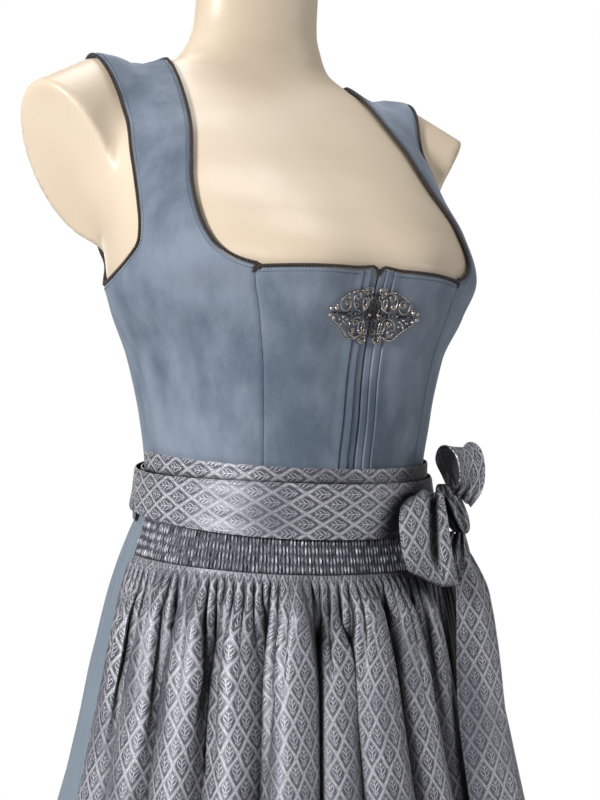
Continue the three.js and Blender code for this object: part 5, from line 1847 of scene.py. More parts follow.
@dataclass
class Skirt:
    """The twill skirt: four panels that fall in soft folds."""

    folds: int = 18
    rows: int = 64
    lean: float = 6.0
    hem_depth: float = 30.0
    flat_length: float = 0.71
    taper: float = 0.86

    # Softer, shorter folds of the skirt between its regular ones: angle, half width, depth, from, to.
    SLUMPS = table(
        "angle half depth start end",
        [
            (-128, 4, 5, -160, -640), (-112, 3, 4, -60, -420), (-97, 3, 4, -220, -700),
            (98, 3, 4, -180, -620), (121, 4, 5, -90, -480), (143, 3, 4, -260, -700),
            (171, 4, 5, -110, -560), (196, 3, 4, -300, -690), (214, 4, 5, -140, -520),
            (241, 3, 4, -200, -660),
        ],
    )

    def wave(self, angle: Array, z: Array) -> Array:
        """How far the skirt stands out at an angle and a height.

        Args:
            angle: Degrees from the front.
            z: Heights.

        Returns:
            A reach for each.
        """
        turn = np.radians(angle)
        wander = 14 * np.sin(2 * turn + math.radians(40)) + 9 * np.sin(5 * turn)
        wave = 0.5 + 0.5 * np.cos(np.radians(self.folds * angle + wander))
        reach = fold_reach(angle, z) * (0.15 + 0.85 * wave**1.15)
        for k in range(len(self.SLUMPS["angle"])):
            gap = ((angle - self.SLUMPS["angle"][k] + 540) % 360 - 180) / self.SLUMPS["half"][k]
            start, end = self.SLUMPS["start"][k], self.SLUMPS["end"][k]
            length = smooth(start, start - 110, z) * smooth(end, end + 140, z)
            reach = reach + self.SLUMPS["depth"][k] * np.exp(-gap * gap) * length
        gather = 0.5 + 0.5 * np.cos(np.radians(72 * angle + 30 * np.sin(7 * turn)))
        near_waist = smooth(18, 46, -z) * (1 - smooth(90, 210, -z))
        return reach + 1.6 * gather * near_waist * smooth(84, 100, from_front(angle))

    def panel(self, name: str, start: float, end: float, columns: int) -> None:
        """Makes one panel.

        Args:
            name: The panel's node.
            start: The angle of its first seam.
            end: The angle of its second seam.
            columns: Steps across the panel.
        """
        z = -SEAM - (SKIRT_LENGTH - SEAM) * np.linspace(0, 1, self.rows) ** 1.15
        half = HANG.at(z)[0]
        seam = np.degrees(SEAM / 2 / half)[:, None]
        share = clustered(columns, 260.0, (1.0, 2.2, 4.0, 6.5))[None, :]
        angle = lerp(start + seam, end - seam, share)
        heights = np.broadcast_to(z[:, None], angle.shape)
        base = HANG.around(angle, heights)
        reach = self.wave(angle, heights)
        moved = leaning(base, reach, self.lean)
        moved[:, 0] = (base + HANG.level(base) * reach[..., None])[:, 0]
        moved[:, -1] = (base + HANG.level(base) * reach[..., None])[:, -1]
        way = HANG.level(base)
        gap = from_edges(moved)
        relief = hem_roll(gap["high"])
        for edge in ("start", "end"):
            relief = relief - 0.7 * bell(gap[edge], 1.6)
        low, high = LAYER["skirt"]
        outer = moved + way * (high + relief)[..., None]
        piece = shell(name + "_twill", outer, moved + way * low, cloth_uv(moved), sharp=60)
        SHOP.dress(piece, "twill", Slot.TWILL, name)
        width = round(float(run_lengths(moved, 1)[-1, -1]) / 1000, 2)

    def stitches(self) -> None:
        """Sews the hem all round."""
        angle = np.linspace(-180, 180, 900)
        z = np.full_like(angle, -SKIRT_LENGTH + self.hem_depth)
        base = HANG.around(angle, z)
        line = leaning(base[None], self.wave(angle, z)[None], self.lean)[0]
        line = line + HANG.level(base) * (LAYER["skirt"][1] - 0.35)
        sizes = {"Pitch": 0.006, "Length": 0.0026, "Thread": 0.00022}
        SHOP.strung("skirt_hem_stitching", [line], "sew_skirt_thread", Slot.TWILL, **sizes)

    def build(self) -> None:
        """Makes every piece of the skirt."""
        self.panel("skirt_front", -50, 50, 44)
        self.panel("skirt_left", 50, 130, 84)
        self.panel("skirt_back", 130, 230, 104)
        self.panel("skirt_right", -130, -50, 84)
        self.stitches()


# ---- apron

EDGE_STITCH = {"Pitch": 0.0030, "Length": 0.0021, "Thread": 0.00018}


def rise_behind(angle: Array) -> Array:
    """How far the apron's waist lines rise towards the back."""
    return 26.0 * np.sin(np.radians(angle) / 2) ** 2


def band_grid(angle: Array, share: Array, top: float, bottom: float) -> tuple[Array, Array]:
    """Points and level ways out of a band round the waist, straight from top to bottom.

    Args:
        angle: The columns' angles.
        share: The rows' shares of the band, from its top, by columns.
        top: The top edge before.
        bottom: The bottom edge before.

    Returns:
        The points and the ways out, rows by columns.
    """
    high = HANG.around(angle, top + rise_behind(angle))
    low = HANG.around(angle, bottom + rise_behind(angle))
    points = high[None] + (low - high)[None] * share[..., None]
    return points, np.broadcast_to(HANG.level(high)[None], points.shape)


@dataclass
class Apron:
    """The jacquard apron: waistband, smocking, gathered skirt and the ties round the waist."""

    reach: float = 87.0
    waist_top: float = 5.0
    waist_bottom: float = -20.0
    tie_top: float = -7.0
    tie_bottom: float = -50.0
    smock_top: float = -20.4
    smock_bottom: float = -77.0
    smock_ribs: int = 140
    smock_rows: int = 8
    smock_rib: float = 1.9
    gathers: int = 58
    lean: float = 3.5
    flat_width: float = 0.92
    under_drop: float = 4.0

    # Long folds: angle at the top and the hem, half width, depth and the height that they start at.
    FOLDS = table(
        "top hem half depth start",
        [
            (-79, -83, 3.8, 10, -90), (-68, -70, 4.2, 14, -80), (-55, -57, 4.4, 15, -85),
            (-40, -43, 4.6, 17, -95), (-25, -31, 5, 22, -80), (-13, -16, 3.8, 16, -110),
            (-2, 1, 5, 22, -80), (12, 17, 4.4, 17, -85), (25, 33, 4.2, 9, -85), (55, 60, 5, 6, -100),
            (72, 77, 5, 7, -90),
        ],
    )
    # Narrow troughs beside the folds: angles, half width, depth and where they start and end.
    TROUGHS = table(
        "top hem half depth start end",
        [
            (-73, -76, 1.6, 4, -84, -700), (-61, -63, 1.5, 5, -82, -430), (-47, -50, 1.6, 6, -84, -700),
            (-33, -37, 1.7, 5, -82, -300), (-19, -23, 1.9, 9, -80, -700), (-8, -8, 1.8, 7, -110, -700),
            (5, 9, 1.7, 8, -82, -700), (18, 25, 1.7, 7, -84, -520), (31, 41, 1.8, 6, -84, -700),
            (64, 68, 1.8, 5, -90, -700), (-85, -88, 1.2, 2, -84, -300), (-27, -30, 1.0, 3, -80, -170),
            (-14, -15, 1.0, 3, -80, -190), (0, 0, 1.0, 3, -80, -200), (-52, -53, 1.0, 3, -80, -180),
            (-66, -67, 1.0, 3, -80, -200), (12, 14, 1.0, 3, -80, -190),
        ],
    )

    def hang(self, angle: Array, z: Array) -> Array:
        """How far the apron's skirt stands out over the skirt's own folds.

        Args:
            angle: Degrees from the front.
            z: Heights.

        Returns:
            A reach for each.
        """
        start = self.smock_bottom + rise_behind(angle) - 1
        fall = np.clip((start - z) / (start + APRON_LENGTH), 0, 1)
        turn = np.radians(angle)
        beat = angle * 360 * self.gathers / (2 * self.reach) + 70 * np.sin(9 * turn)
        beat = beat + 50 * np.sin(23 * turn + 1)
        gather = 0.5 + 0.5 * np.cos(np.radians(beat))
        fade = smooth(0, 0.012, fall) * (1 - smooth(0.03, 0.2 + 0.1 * np.sin(31 * turn), fall))
        reach = fold_reach(angle, z) + 2.8 * gather**1.3 * fade
        fine = 0.5 + 0.5 * np.cos(np.radians(beat * 0.5 + 40))
        reach = reach + 1.2 * fine * smooth(0.01, 0.08, fall) * (1 - smooth(0.1, 0.3, fall))
        for k in range(len(self.FOLDS["top"])):
            fold = {name: values[k] for name, values in self.FOLDS.items()}
            centre = lerp(fold["top"], fold["hem"], fall)
            gap = np.abs(angle - centre) / (fold["half"] * (0.92 + 0.4 * fall))
            ridge = np.exp(-(gap**2.2)) * smooth(0, 34, fold["start"] + 6 - z)
            reach = reach + fold["depth"] * ridge * (0.8 + 0.75 * fall)
        for k in range(len(self.TROUGHS["top"])):
            dip = {name: values[k] for name, values in self.TROUGHS.items()}
            centre = lerp(dip["top"], dip["hem"], fall)
            gap = (angle - centre) / (dip["half"] * (0.8 + 0.7 * fall))
            length = smooth(0, 40, dip["start"] - z) * smooth(0, 110, z - dip["end"])
            reach = reach - 1.6 * dip["depth"] * np.exp(-gap * gap) * length
        return np.maximum(reach, fold_reach(angle, z) + 0.3)

    def skirt(self) -> None:
        """Makes the apron's gathered skirt."""
        columns, rows = 440, 92
        angle = np.linspace(-self.reach, self.reach, columns)[None, :]
        share = (np.linspace(0, 1, rows) ** 1.5)[:, None]
        z = lerp(self.smock_bottom + rise_behind(angle) - SEAM, -APRON_LENGTH, share)
        angle = np.broadcast_to(angle, z.shape)
        base = HANG.around(angle, z)
        reach = self.hang(angle, z)
        lean = self.lean * smooth(0.0, 0.15, share) + 0.8
        moved = leaning(base, reach, lean)
        way = HANG.level(base)
        gap = from_edges(moved)
        relief = hem_roll(gap["high"], 0.7)
        for edge in ("start", "end"):
            relief = relief - 0.6 * bell(gap[edge] - 9, 1.2)
        low, high = LAYER["apron"]
        run = run_lengths(moved, 1)
        spread = run / run[:, -1:]
        spread = lerp(spread, spread[rows // 4 :].mean(axis=0, keepdims=True), 0.6) - 0.5
        drop = run_lengths(moved[:, :: columns // 20], 0).mean(axis=1, keepdims=True)
        uv = np.stack([spread * self.flat_width, np.broadcast_to(-drop * 0.001, spread.shape)], -1)
        outer = moved + way * (high + relief)[..., None]
        piece = shell("apron_skirt_cloth", outer, moved + way * low, uv, sharp=60)
        SHOP.dress(piece, "jacquard", Slot.JACQUARD, "apron_skirt")

    def smocking(self) -> None:
        """Makes the smocked band: fine ribs drawn in by rows of stitching."""
        per_rib, per_row = 5, 5
        columns = self.smock_ribs * per_rib + 1
        rows = self.smock_rows * per_row + 1
        angle = np.linspace(-self.reach, self.reach, columns)
        share = np.linspace(0, 1, rows)
        points, way = band_grid(angle, share[:, None], self.smock_top, self.smock_bottom)
        rib_phase = np.linspace(0, self.smock_ribs, columns)[None, :]
        row_phase = np.linspace(0, self.smock_rows, rows)[:, None]
        jitter = 0.16 * np.sin(rib_phase * 2.1 + 1.7 * np.floor(row_phase)) + 0.1 * np.sin(rib_phase * 0.7)
        rib = 0.5 - 0.5 * np.cos(2 * np.pi * (rib_phase + jitter * np.sin(np.pi * row_phase)))
        puff = np.abs(np.sin(np.pi * row_phase)) ** 0.55
        tall = 0.85 + 0.15 * np.sin(rib_phase * 1.3 + 2.3 * np.floor(row_phase))
        relief = self.smock_rib * (0.12 + 0.88 * rib) * (0.22 + 0.78 * puff) * tall
        low, high = LAYER["smocking"]
        outer = points + way * (high + relief)[..., None]
        plain = points + way * low
        uv = np.stack(np.broadcast_arrays(rib_phase * Smocked.rib, -row_phase * Smocked.row), -1)
        piece = shell("smocked_band_cloth", outer, plain, uv, sharp=75)
        SHOP.dress(piece, "smocked", Slot.JACQUARD, "apron_smocking")
        width = round(float(run_lengths(outer[4:5], 1)[-1, -1]) / 1000, 2)
        lines = []
        for k in range(1, self.smock_rows):
            row = k * per_row
            lines.append((points + way * (high + relief * 0.5 + 0.35)[..., None])[row, 2:-2])
        sizes = {"Pitch": 0.0034, "Length": 0.0022, "Thread": 0.00024}
        SHOP.strung("smocking_thread", lines, "sew_apron_thread", Slot.JACQUARD, **sizes)

    def band(
        self, name: str, node: str, angles: tuple[float, float], edges: tuple[float, float], layer: str,
        slack: float, flat_length: float,
    ) -> Array:
        """Makes a plain band round the waist with soft lengthwise creases.

        Args:
            name: The piece's name.
            node: The CAD node it stands for.
            angles: Where it starts and ends.
            edges: Its top and bottom edges before.
            layer: The layer that it lies in.
            slack: How deep its soft creases are.
            flat_length: The cut's length in metres; not used.

        Returns:
            The outer face's points, rows by columns.
        """
        start, end = angles
        columns = int(abs(end - start) * 1.7)
        angle = np.linspace(start, end, columns)
        rows = 24
        share = np.linspace(0, 1, rows)
        drawn = smooth(154, 261.7, angle) + smooth(-26, -98, angle)
        narrow = 1 - 0.2 * drawn * (layer == "tie")
        points, way = band_grid(angle, 0.5 + (share[:, None] - 0.5) * narrow[None, :], *edges)
        a, v = np.radians(angle)[None, :], share[:, None]
        relief = slack * 0.5 * np.sin(2.1 * np.pi * v + 2.2 * np.sin(1.7 * a + v))
        relief = relief + slack * 0.35 * np.sin(3.3 * np.pi * v - 3.1 * a + 1.2 * np.sin(4 * a))
        relief = relief * np.sin(np.pi * np.clip(v, 0.02, 0.98)) ** 0.5
        relief = relief - 0.5 * (bell(v, 0.03) + bell(1 - v, 0.03))
        relief = relief + self.tie_shape(name, np.degrees(a), v)
        low, high = LAYER[layer]
        thick = np.maximum(relief, -0.6)
        inner = points + way * (low + np.where(thick > 0.4, thick - 0.4, 0.0))[..., None]
        outer = points + way * (high + thick)[..., None]
        piece = shell(name, outer, inner, cloth_uv(points)[..., ::-1] * np.array([1.0, -1.0]), sharp=60)
        SHOP.dress(piece, "jacquard", Slot.JACQUARD, node)
        return outer

    def tie_shape(self, name: str, angle: Array, v: Array) -> Array:
        """The tie's own larger folds: a hollow at the side and pleats that run into the knot.

        Args:
            name: The piece's name.
            angle: Degrees from the front.
            v: Shares of the depth.

        Returns:
            The relief.
        """
        if name != "tie_front_cloth":
            return np.zeros(np.broadcast_shapes(angle.shape, v.shape))
        hollow = -0.55 * bell(angle + 84, 5) * bell(v - 0.45, 0.3)
        lip = 1.6 * bell(angle + 76, 4.5) * bell(v - 0.5, 0.4)
        toward = smooth(22, 46, angle)
        pleats = 1.3 * toward * np.sin(2 * np.pi * (2.5 * v + 0.15)) ** 2
        return hollow + lip + pleats

    def build(self) -> None:
        """Makes every piece of the apron but its bow."""
        sewn = []
        waist = (self.waist_top, self.waist_bottom)
        tie = (self.tie_top, self.tie_bottom)
        under = (self.tie_top - self.under_drop, self.tie_bottom - self.under_drop)
        band = self.band("waistband_cloth", "apron_waistband", (-97, 97), waist, "waistband", 0.25, 0.46)
        sewn.append(band[3, 2:-2])
        self.smocking()
        self.skirt()
        front = self.band("tie_front_cloth", "tie_front", (-98, 46), tie, "tie", 0.9, 0.38)
        back = self.band("tie_back_cloth", "tie_back", (46.3, 261.7), tie, "tie", 0.9, 0.52)
        self.band("tie_under_cloth", "tie_under", (98.5, 261.5), under, "tie_under", 0.5, 0.40)
        for grid in (front, back):
            sewn.extend([grid[2, 2:-2], grid[-3, 2:-2]])
        SHOP.strung("apron_stitching", sewn, "sew_apron_thread", Slot.JACQUARD, **EDGE_STITCH)


# ---- bow

BOW_TURN = math.radians(-28)
BOW_RIGHT = np.array([math.cos(BOW_TURN), math.sin(BOW_TURN), 0.0])
BOW_FRONT = np.array([math.sin(BOW_TURN), -math.cos(BOW_TURN), 0.0])
BOW_UP = np.array([0.0, 0.0, 1.0])


def curve_through(points: Array, at: Array) -> Array:
    """A smooth curve through points, by shares of its stations.

    Args:
        points: The stations.
        at: Shares from 0 to 1.

    Returns:
        A point for each share.
    """
    ends = np.concatenate([[2 * points[0] - points[1]], points, [2 * points[-1] - points[-2]]])
    place = np.clip(at, 0, 1) * (len(points) - 1)
    i = np.minimum(place.astype(int), len(points) - 2)
    t = (place - i)[:, None]
    p0, p1, p2, p3 = (ends[i + k] for k in range(4))
    return 0.5 * (
        2 * p1 + (p2 - p0) * t + (2 * p0 - 5 * p1 + 4 * p2 - p3) * t**2 + (3 * p1 - p0 - 3 * p2 + p3) * t**3
    )


@dataclass
class Bow:
    """The bow at the wearer's left: a knot, two loops and two tails."""

    knot: tuple[float, float, float] = (99.7, -98.5, -28.0)
    knot_size: tuple[float, float, float] = (10.5, 12.5, 21.0)
    knot_lean: float = -8.0
    wall: float = 1.2
    cup: float = 0.12
    tail_crown: float = 2.0
    draw_in: float = 0.72
    loop_cloth: float = 0.052
    tail_cloth: float = 0.046

    # Right, up and out to the front of the knot, width, swing from right to front, and tilt.
    UPPER = (
        (9, 10, 12, 20, -20, -35), (13, 20, 16, 26, -32, -18), (14, 34, 16, 31, -40, 0),
        (12.5, 47, 11, 33, -42, 6), (7, 54, 4, 34, -42, 6), (1, 52, -4, 34, -42, 6),
        (-2, 40, -9, 31, -40, 0), (1, 26, -12, 24, -32, -15), (5, 15, -13, 15, -25, -30),
    )
    LOWER = (
        (-17, 8, 15, 16, -20, 14), (-27, 11, 28, 34, -24, 14), (-30, 3, 44, 44, -28, 12),
        (-30, -14, 53, 47, -28, 6), (-28, -34, 57, 46, -26, -2), (-23, -50, 54, 44, -24, -8),
        (-17, -53, 44, 40, -24, -16), (-10, -45, 35, 34, -24, -18), (-4, -34, 26, 24, -22, -16),
        (2, -26, 15, 14, -20, -10),
    )
    FRONT_TAIL = table(
        "angle z out width turn",
        [
            (48, -52, 22, 20, 0), (47, -70, 24, 34, 18), (44, -100, 28, 42, 28), (33, -190, 30, 46, 30),
            (30, -260, 30, 46, 30), (28, -380, 32, 46, 30), (27, -530, 36, 46, 30),
        ],
    )
    SIDE_TAIL = table(
        "angle z out width turn",
        [
            (59, -50, 24, 18, 0), (61, -70, 23, 28, 10), (62, -110, 22, 38, 15), (63, -190, 23, 46, 20),
            (64, -260, 23, 46, 20), (65, -380, 25, 46, 20), (66, -500, 29, 46, 20),
        ],
    )

    def place(self, right: Array, up: Array, front: Array) -> Array:
        """A point by its distances from the knot, along the bow's own axes."""
        right, up, front = (np.asarray(v, float)[..., None] for v in (right, up, front))
        return np.array(self.knot) + right * BOW_RIGHT + front * BOW_FRONT + up * BOW_UP

    def loop(
        self, name: str, node: str, rows: Rows, pleat: float, crease: float
    ) -> None:
        """Makes a loop of ribbon with pleats that run into the knot.

        Args:
            name: The piece's name.
            node: The CAD node it stands for.
            rows: The loop's stations.
            pleat: How deep the pleats are at the knot.
            crease: How deep the long crease of the front face is.
        """
        data = np.array(rows, float)
        data[[0, -1], :3] *= self.draw_in
        stations = np.linspace(0, 1, len(data))
        t = np.linspace(0, 1, 96)
        middle = curve_through(self.place(*data[:, :3].T), t)
        width, swing, tilt = (monotone(stations, data[:, k], t) for k in (3, 4, 5))
        swing, tilt = np.radians(swing), np.radians(tilt)
        flat = np.cos(tilt)[:, None]
        side = flat * (np.cos(swing)[:, None] * BOW_RIGHT + np.sin(swing)[:, None] * BOW_FRONT)
        side = unit(side + np.sin(tilt)[:, None] * BOW_UP)
        normal = unit(np.cross(np.gradient(middle, axis=0), side))
        s = np.linspace(-0.5, 0.5, 33)
        ends = np.minimum(t, 1 - t)
        pinch = bell(ends, 0.15)
        fold = np.cos(2 * np.pi * 2.5 * s)[None, :] * pinch[:, None] * pleat
        soft = 0.9 * np.sin(2 * np.pi * (0.9 * s[None, :] + 1.7 * t[:, None])) * np.sin(np.pi * t)[:, None]
        crown = self.cup * width[:, None] * (1 - 4 * s[None, :] ** 2)
        groove = (s[None, :] - 0.27 + 0.35 * (t[:, None] - 0.15)) / 0.12
        where = smooth(0.05, 0.2, t) * (1 - smooth(0.42, 0.6, t))
        dent = crease * np.exp(-groove * groove) * where[:, None]
        lift = crown + fold + soft - dent
        points = middle[:, None] + side[:, None] * (s[None, :] * width[:, None])[..., None]
        points = points + normal[:, None] * lift[..., None]
        way = self.facing(points)
        half = way * self.wall / 2
        piece = shell(name, points + half, points - half, self.ribbon_uv(points, self.loop_cloth), sharp=60)
        SHOP.dress(piece, "jacquard", Slot.JACQUARD, node)
        length = float(run_lengths(middle[:, None], 0)[-1, 0]) / 1000
        length, broad = round(length, 2), round(float(width.max()) / 1000, 3)

    def facing(self, points: Array) -> Array:
        """The way straight out of a grid of points."""
        return unit(np.cross(np.gradient(points, axis=0), np.gradient(points, axis=1)))

    def ribbon_uv(self, points: Array, width: float) -> Array:
        """Cloth coordinates of a ribbon whose full width is drawn together in places."""
        run = run_lengths(points, 0).mean(axis=1, keepdims=True) * 0.001
        across = np.linspace(-0.5, 0.5, points.shape[1])[None, :] * width
        return np.stack(np.broadcast_arrays(across, -run), -1)

    def wrapped_knot(self) -> None:
        """Makes the knot: the tie wrapped round itself in slanting folds."""
        rx, ry, rz = self.knot_size
        a = np.pi * np.linspace(0.06, 0.94, 60)[:, None]
        b = 2 * np.pi * np.linspace(0, 1, 81)[None, :]
        ridge = (0.5 + 0.5 * np.cos(7 * b + 1.5 * (a - np.pi / 2) + 0.5 * np.sin(2 * a))) ** 1.4
        out = np.sin(a) ** 0.62 * (0.88 + 0.2 * ridge)
        lean = self.knot_lean * np.cos(a)
        points = self.place(rx * out * np.cos(b) + lean, rz * np.cos(a) + 0 * b, ry * out * np.sin(b))
        inner = self.place(
            (rx - 1.6) * out * np.cos(b) + lean, (rz - 0.6) * np.cos(a) + 0 * b,
            (ry - 1.6) * out * np.sin(b),
        )
        uv = np.stack(np.broadcast_arrays(b * 0.011, -a * 0.016), -1)
        piece = shell("bow_knot_cloth", points, inner, uv, sharp=70)
        SHOP.dress(piece, "jacquard", Slot.JACQUARD, "bow_knot")

    def tail(self, name: str, node: str, rows: dict[str, Array], twist: float) -> Array:
        """Makes a tail that hangs from the knot and lies on the apron.

        Args:
            name: The piece's name.
            node: The CAD node it stands for.
            rows: Its stations.
            twist: How deep its folds are below the knot.

        Returns:
            The outer face's points, rows by columns.
        """
        top, bottom = rows["z"][0], rows["z"][-1]
        count, columns = 150, 37
        share = np.linspace(0, 1, count) ** 1.2
        z = lerp(top, bottom, share)
        names = ("angle", "out", "width", "turn")
        angle, out, width, turn = (monotone(rows["z"], rows[n], z) for n in names)
        middle = HANG.around(angle, z)
        away = HANG.level(middle)
        turn = np.radians(turn)[:, None]
        way = away * np.cos(turn) - np.cross(BOW_UP, away) * np.sin(turn)
        side = np.cross(BOW_UP, way)
        s = np.linspace(-0.5, 0.5, columns)[None, :]
        near = bell(top - z, 55.0)[:, None]
        down = (z[:, None] - top) / 100
        crown = self.tail_crown * np.cos(3 * s)
        pleats = twist * near * np.cos(2 * np.pi * (1.6 * s + 0.25 * down))
        long_fold = 1.6 * (1 - near) * np.sin(2 * np.pi * (0.9 * s - 0.10 * down + 0.15))
        long_fold = long_fold * smooth(0, 60, top - z)[:, None]
        wave = 1.0 * np.sin(2.1 * down + 1.3 * s) * (1 - near)
        lift = crown + pleats + long_fold + wave
        points = (middle + away * out[:, None])[:, None] + way[:, None] * lift[..., None]
        points = points + side[:, None] * (s * width[:, None])[..., None]
        half = self.facing(points)
        flip = np.sign(np.sum(half * way[:, None], -1, keepdims=True))
        half = half * flip * self.wall / 2
        gap = from_edges(points)
        roll = sum(bell(gap[e], 1.0) for e in ("start", "end", "high"))
        outer = points + half * (1 - 0.5 * np.minimum(roll, 1))[..., None]
        uv = self.ribbon_uv(points, self.tail_cloth)
        piece = shell(name, outer, points - half, uv, sharp=60)
        SHOP.dress(piece, "jacquard", Slot.JACQUARD, node)
        return outer

    def build(self) -> None:
        """Makes every piece of the bow."""
        self.wrapped_knot()
        self.loop("bow_loop_upper_cloth", "bow_loop_upper", self.UPPER, 1.6, 0.0)
        self.loop("bow_loop_lower_cloth", "bow_loop_lower", self.LOWER, 1.6, 10.0)
        lines = []
        front = self.tail("bow_tail_front_cloth", "bow_tail_front", self.FRONT_TAIL, 3.0)
        side = self.tail("bow_tail_side_cloth", "bow_tail_side", self.SIDE_TAIL, 2.6)
        for grid in (front, side):
            way = self.facing(grid)
            way = way * np.sign(np.sum(way * HANG.level(grid), -1, keepdims=True))
            lifted = grid + way * 0.12
            lines.extend([lifted[:, 2], lifted[:, -3]])
        SHOP.strung("tail_stitching", lines, "sew_apron_thread", Slot.JACQUARD, **EDGE_STITCH)


# ---- dress form


@dataclass
class DressForm:
    """The limbless torso with flat oval shoulder ends, and its stand."""

    inset: float = 0.8
    voxel: float = 4.5
    sides: int = 112

    RINGS = (
        (-258, 18), (-255, 7), (-247, 1), *((z, 1) for z in range(-240, 456, 8)), (456, 1), (466, 4),
        (470, 12),
    )
    STAND = (
        (0, 0), (183, 0), (185, 2), (185, 9), (181, 12), (40, 14), (24, 20), (16, 34), (16, 752), (26, 756),
        (26, 791.7), (0, 791.7),
    )

    def rough(self) -> Piece:
        """A rough closed torso and two long stubs that run into it."""
        angle = np.arange(96) * 3.75
        rings = []
        for z, inset in self.RINGS:
            p = TORSO.around(angle, np.full(96, float(z)))
            rings.append(p - TORSO.level(p) * inset)
        parts = [self.stack("rough_torso", rings)]
        turn = 2 * np.pi * np.arange(64) / 64
        for side in Side:
            rings = []
            for along, share in ((-56, 0.3), (-44, 0.62), (-26, 0.88), (0, 1), (40, 1), (FIGURE.LENGTH, 1)):
                p = FIGURE.ROOT + FIGURE.axis * along
                p = p + FIGURE.up * (np.cos(turn) * (FIGURE.HALF_HEIGHT * share - self.inset))[:, None]
                p = p + FIGURE.side * (np.sin(turn) * (FIGURE.HALF_DEPTH * share - self.inset))[:, None]
                rings.append(mirrored(p, side))
            parts.append(self.stack("rough_stub", rings))
        return merged("form_torso_shell", parts)

    def stack(self, name: str, rings: Sequence[Array]) -> Piece:
        """A closed stack of rings.

        Args:
            name: The piece's name.
            rings: Rings with the same count of points.

        Returns:
            The new object.
        """
        count = len(rings[0])
        points = np.concatenate(rings)
        faces = []
        for i in range(len(rings) - 1):
            for k in range(count):
                n = (k + 1) % count
                faces.append((i * count + k, i * count + n, (i + 1) * count + n, (i + 1) * count + k))
        faces.append(tuple(range(count))[::-1])
        faces.append(tuple(range((len(rings) - 1) * count, len(rings) * count)))
        piece = make_mesh(name, points, faces)
        self.outward(piece)
        return piece

    def outward(self, piece: Piece) -> None:
        """Turns every face outwards."""
        work = bmesh.new()
        work.from_mesh(piece.data)
        bmesh.ops.recalc_face_normals(work, faces=work.faces)
        work.to_mesh(piece.data)
        work.free()

    def torso(self) -> None:
        """Makes the smooth torso, settled on the mould's surface."""
        piece = self.rough()
        remesh = piece.modifiers.new("Remesh", "REMESH")
        remesh.mode = "VOXEL"
        remesh.voxel_size = self.voxel / 1000
        graph = bpy.context.evaluated_depsgraph_get()
        mesh = bpy.data.meshes.new_from_object(piece.evaluated_get(graph))
        piece.modifiers.remove(remesh)
        piece.data = mesh
        mesh.name = piece.name
        flat = np.empty(len(mesh.vertices) * 3)
        mesh.vertices.foreach_get("co", flat)
        points = flat.reshape(-1, 3) * 1000 + np.array([0.0, PLUMB_Y, -WAIST_Z])
        settled = MOULD.settle(points)
        move = settled - MOULD.normal(settled) * self.inset - points
        far = np.linalg.norm(move, axis=1, keepdims=True)
        move = move * np.minimum(1, 40 / np.maximum(far, 1e-9))
        z = points[:, 2:3]
        free = smooth(-256, -246, z) * (1 - smooth(450, 458, z))
        mesh.vertices.foreach_set("co", into_frame(points + move * free).ravel())
        mesh.polygons.foreach_set("use_smooth", np.ones(len(mesh.polygons), bool))
        mesh.set_sharp_from_angle(angle=math.radians(50))
        SHOP.dress(piece, "lacquer", Slot.FORM, "form_torso")

    def stand(self) -> None:
        """Turns the base, pole and collar in one."""
        rows = np.array(self.STAND, float)
        line = [rows[0]]
        for before, here, after in zip(rows, rows[1:], rows[2:]):
            a, b = here - before, after - here
            cut = min(np.linalg.norm(a), np.linalg.norm(b), 3.0) * 0.45
            start, end = here - a / np.linalg.norm(a) * cut, here + b / np.linalg.norm(b) * cut
            for t in (0.0, 0.33, 0.67, 1.0):
                line.append((1 - t) ** 2 * start + 2 * t * (1 - t) * here + t * t * end)
        line.append(rows[-1])
        line = np.array(line)[1:-1]
        turn = 2 * np.pi * np.arange(self.sides) / self.sides
        rings = []
        for r, z in line:
            x, y = r * np.cos(turn), r * np.sin(turn) + PLUMB_Y
            rings.append(np.stack([x, y, np.full_like(turn, z - WAIST_Z)], 1))
        piece = self.stack("form_stand_turned", rings)
        piece.data.set_sharp_from_angle(angle=math.radians(35))
        SHOP.dress(piece, "steel", Slot.STEEL, "form_stand")

    def build(self) -> None:
        """Makes the torso and the stand."""
        self.torso()
        self.stand()


class TorsoSurface(FigureSurface):
    """The torso alone, without its shoulder stubs."""

    def field(self, p: Array) -> Array:
        """Below zero inside the torso."""
        return self.torso(p)


class Mould(FigureSurface):
    """The figure with its shoulder stubs cut off flat and softly rounded at the rim."""

    STEEP, ROUND = 0.009, 0.05

    def stub(self, p: Array) -> Array:
        """The shoulder stubs' field, with their flat ends."""
        body = super().stub(p)
        q = np.stack([np.abs(p[..., 0]), p[..., 1], p[..., 2]], -1) - self.ROOT
        end = (q @ self.axis - self.LENGTH) * self.STEEP
        h = np.clip(0.5 + (body - end) / (2 * self.ROUND), 0, 1)
        return end * (1 - h) + body * h + self.ROUND * h * (1 - h)


TORSO = TorsoSurface()
MOULD = Mould()


# ---- studio


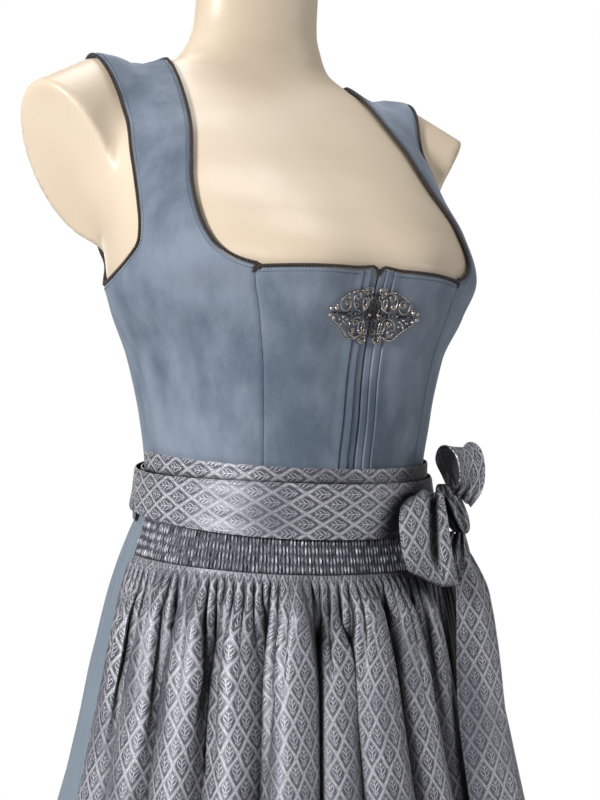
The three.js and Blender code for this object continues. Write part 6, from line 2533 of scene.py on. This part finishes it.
@dataclass
class Studio:
    """The pale floor, soft lights, camera and background."""

    camera_place: tuple[float, float, float] = (-0.5282, -0.9848, 1.0614)
    camera_tilt: float = 92.75
    camera_turn: float = -28.6
    camera_roll: float = -0.14
    lens: float = 57.19
    shift: float = 0.01075

    def floor(self) -> None:
        """Lays the floor."""
        turn = 2 * np.pi * np.arange(96) / 96
        points = [np.zeros((1, 3))]
        radii = (0.4, 1.0, 2.0, 2.8)
        for r in radii:
            points.append(np.stack([r * np.cos(turn), r * np.sin(turn), np.full_like(turn, -0.0005)], 1))
        points = np.concatenate(points)
        points[0, 2] = -0.0005
        faces = [(0, 1 + k, 1 + (k + 1) % 96) for k in range(96)]
        for ring in range(len(radii) - 1):
            a, b = 1 + ring * 96, 1 + (ring + 1) * 96
            faces.extend((a + k, b + k, b + (k + 1) % 96, a + (k + 1) % 96) for k in range(96))
        mesh = bpy.data.meshes.new("floor")
        mesh.from_pydata(points.tolist(), [], faces)
        mesh.materials.append(FloorPaint().build())
        placed("floor", mesh)

    def light(self, name: str, place: Sequence[float], size: float, power: float) -> None:
        """Hangs a soft area light that faces the garment.

        Args:
            name: The light's name.
            place: Where it hangs, in metres.
            size: Its width.
            power: Its power in watts.
        """
        data = bpy.data.lights.new(name, "AREA")
        data.shape = "DISK"
        data.size = size
        data.energy = power
        lamp = placed(name, data)
        lamp.location = place
        way = Vector((0.0, 0.0, WAIST_Z / 1000)) - Vector(place)
        lamp.rotation_euler = way.to_track_quat("-Z", "Y").to_euler()

    def camera(self) -> None:
        """Sets up the camera."""
        data = bpy.data.cameras.new("camera")
        data.lens = self.lens
        data.shift_x = self.shift
        data.clip_end = 50
        eye = placed("camera", data)
        eye.location = self.camera_place
        eye.rotation_euler = (
            math.radians(self.camera_tilt), math.radians(self.camera_roll), math.radians(self.camera_turn),
        )
        bpy.context.scene.camera = eye

    def world(self) -> None:
        """Fills the surroundings with even white light."""
        world = bpy.data.worlds.new("white_room")
        world.use_nodes = True
        tree = world.node_tree
        back = tree.nodes["Background"]
        back.inputs["Color"].default_value = (1.0, 1.0, 1.0, 1.0)
        back.inputs["Strength"].default_value = 0.26
        seen = tree.nodes.new("ShaderNodeBackground")
        seen.inputs["Color"].default_value = (1.0, 1.0, 1.0, 1.0)
        seen.inputs["Strength"].default_value = 1.0
        path = tree.nodes.new("ShaderNodeLightPath")
        mix = tree.nodes.new("ShaderNodeMixShader")
        tree.links.new(path.outputs["Is Camera Ray"], mix.inputs[0])
        tree.links.new(back.outputs[0], mix.inputs[1])
        tree.links.new(seen.outputs[0], mix.inputs[2])
        tree.links.new(mix.outputs[0], tree.nodes["World Output"].inputs["Surface"])
        bpy.context.scene.world = world
        bpy.context.scene.view_settings.view_transform = "Standard"

    def build(self) -> None:
        """Sets the whole studio."""
        self.floor()
        self.world()
        self.camera()
        self.light("key", (-2.5, -0.95, 1.95), 0.65, 76)
        self.light("fill", (2.3, -1.6, 1.6), 1.4, 13)
        self.light("top", (0.2, 0.4, 3.1), 1.2, 16)
        self.light("rim", (0.4, 2.2, 1.9), 1.4, 14)


def main() -> None:
    """Builds the dressed form, piece by piece."""
    logging.basicConfig(level=logging.INFO, format="%(message)s")
    SHOP.stock()
    makers = [Studio(), DressForm(), Bodice(), Clasp(), Skirt(), Apron(), Bow()]
    for maker in makers:
        log.info("building %s", type(maker).__name__)
        maker.build()


if __name__ == "__main__":
    main()
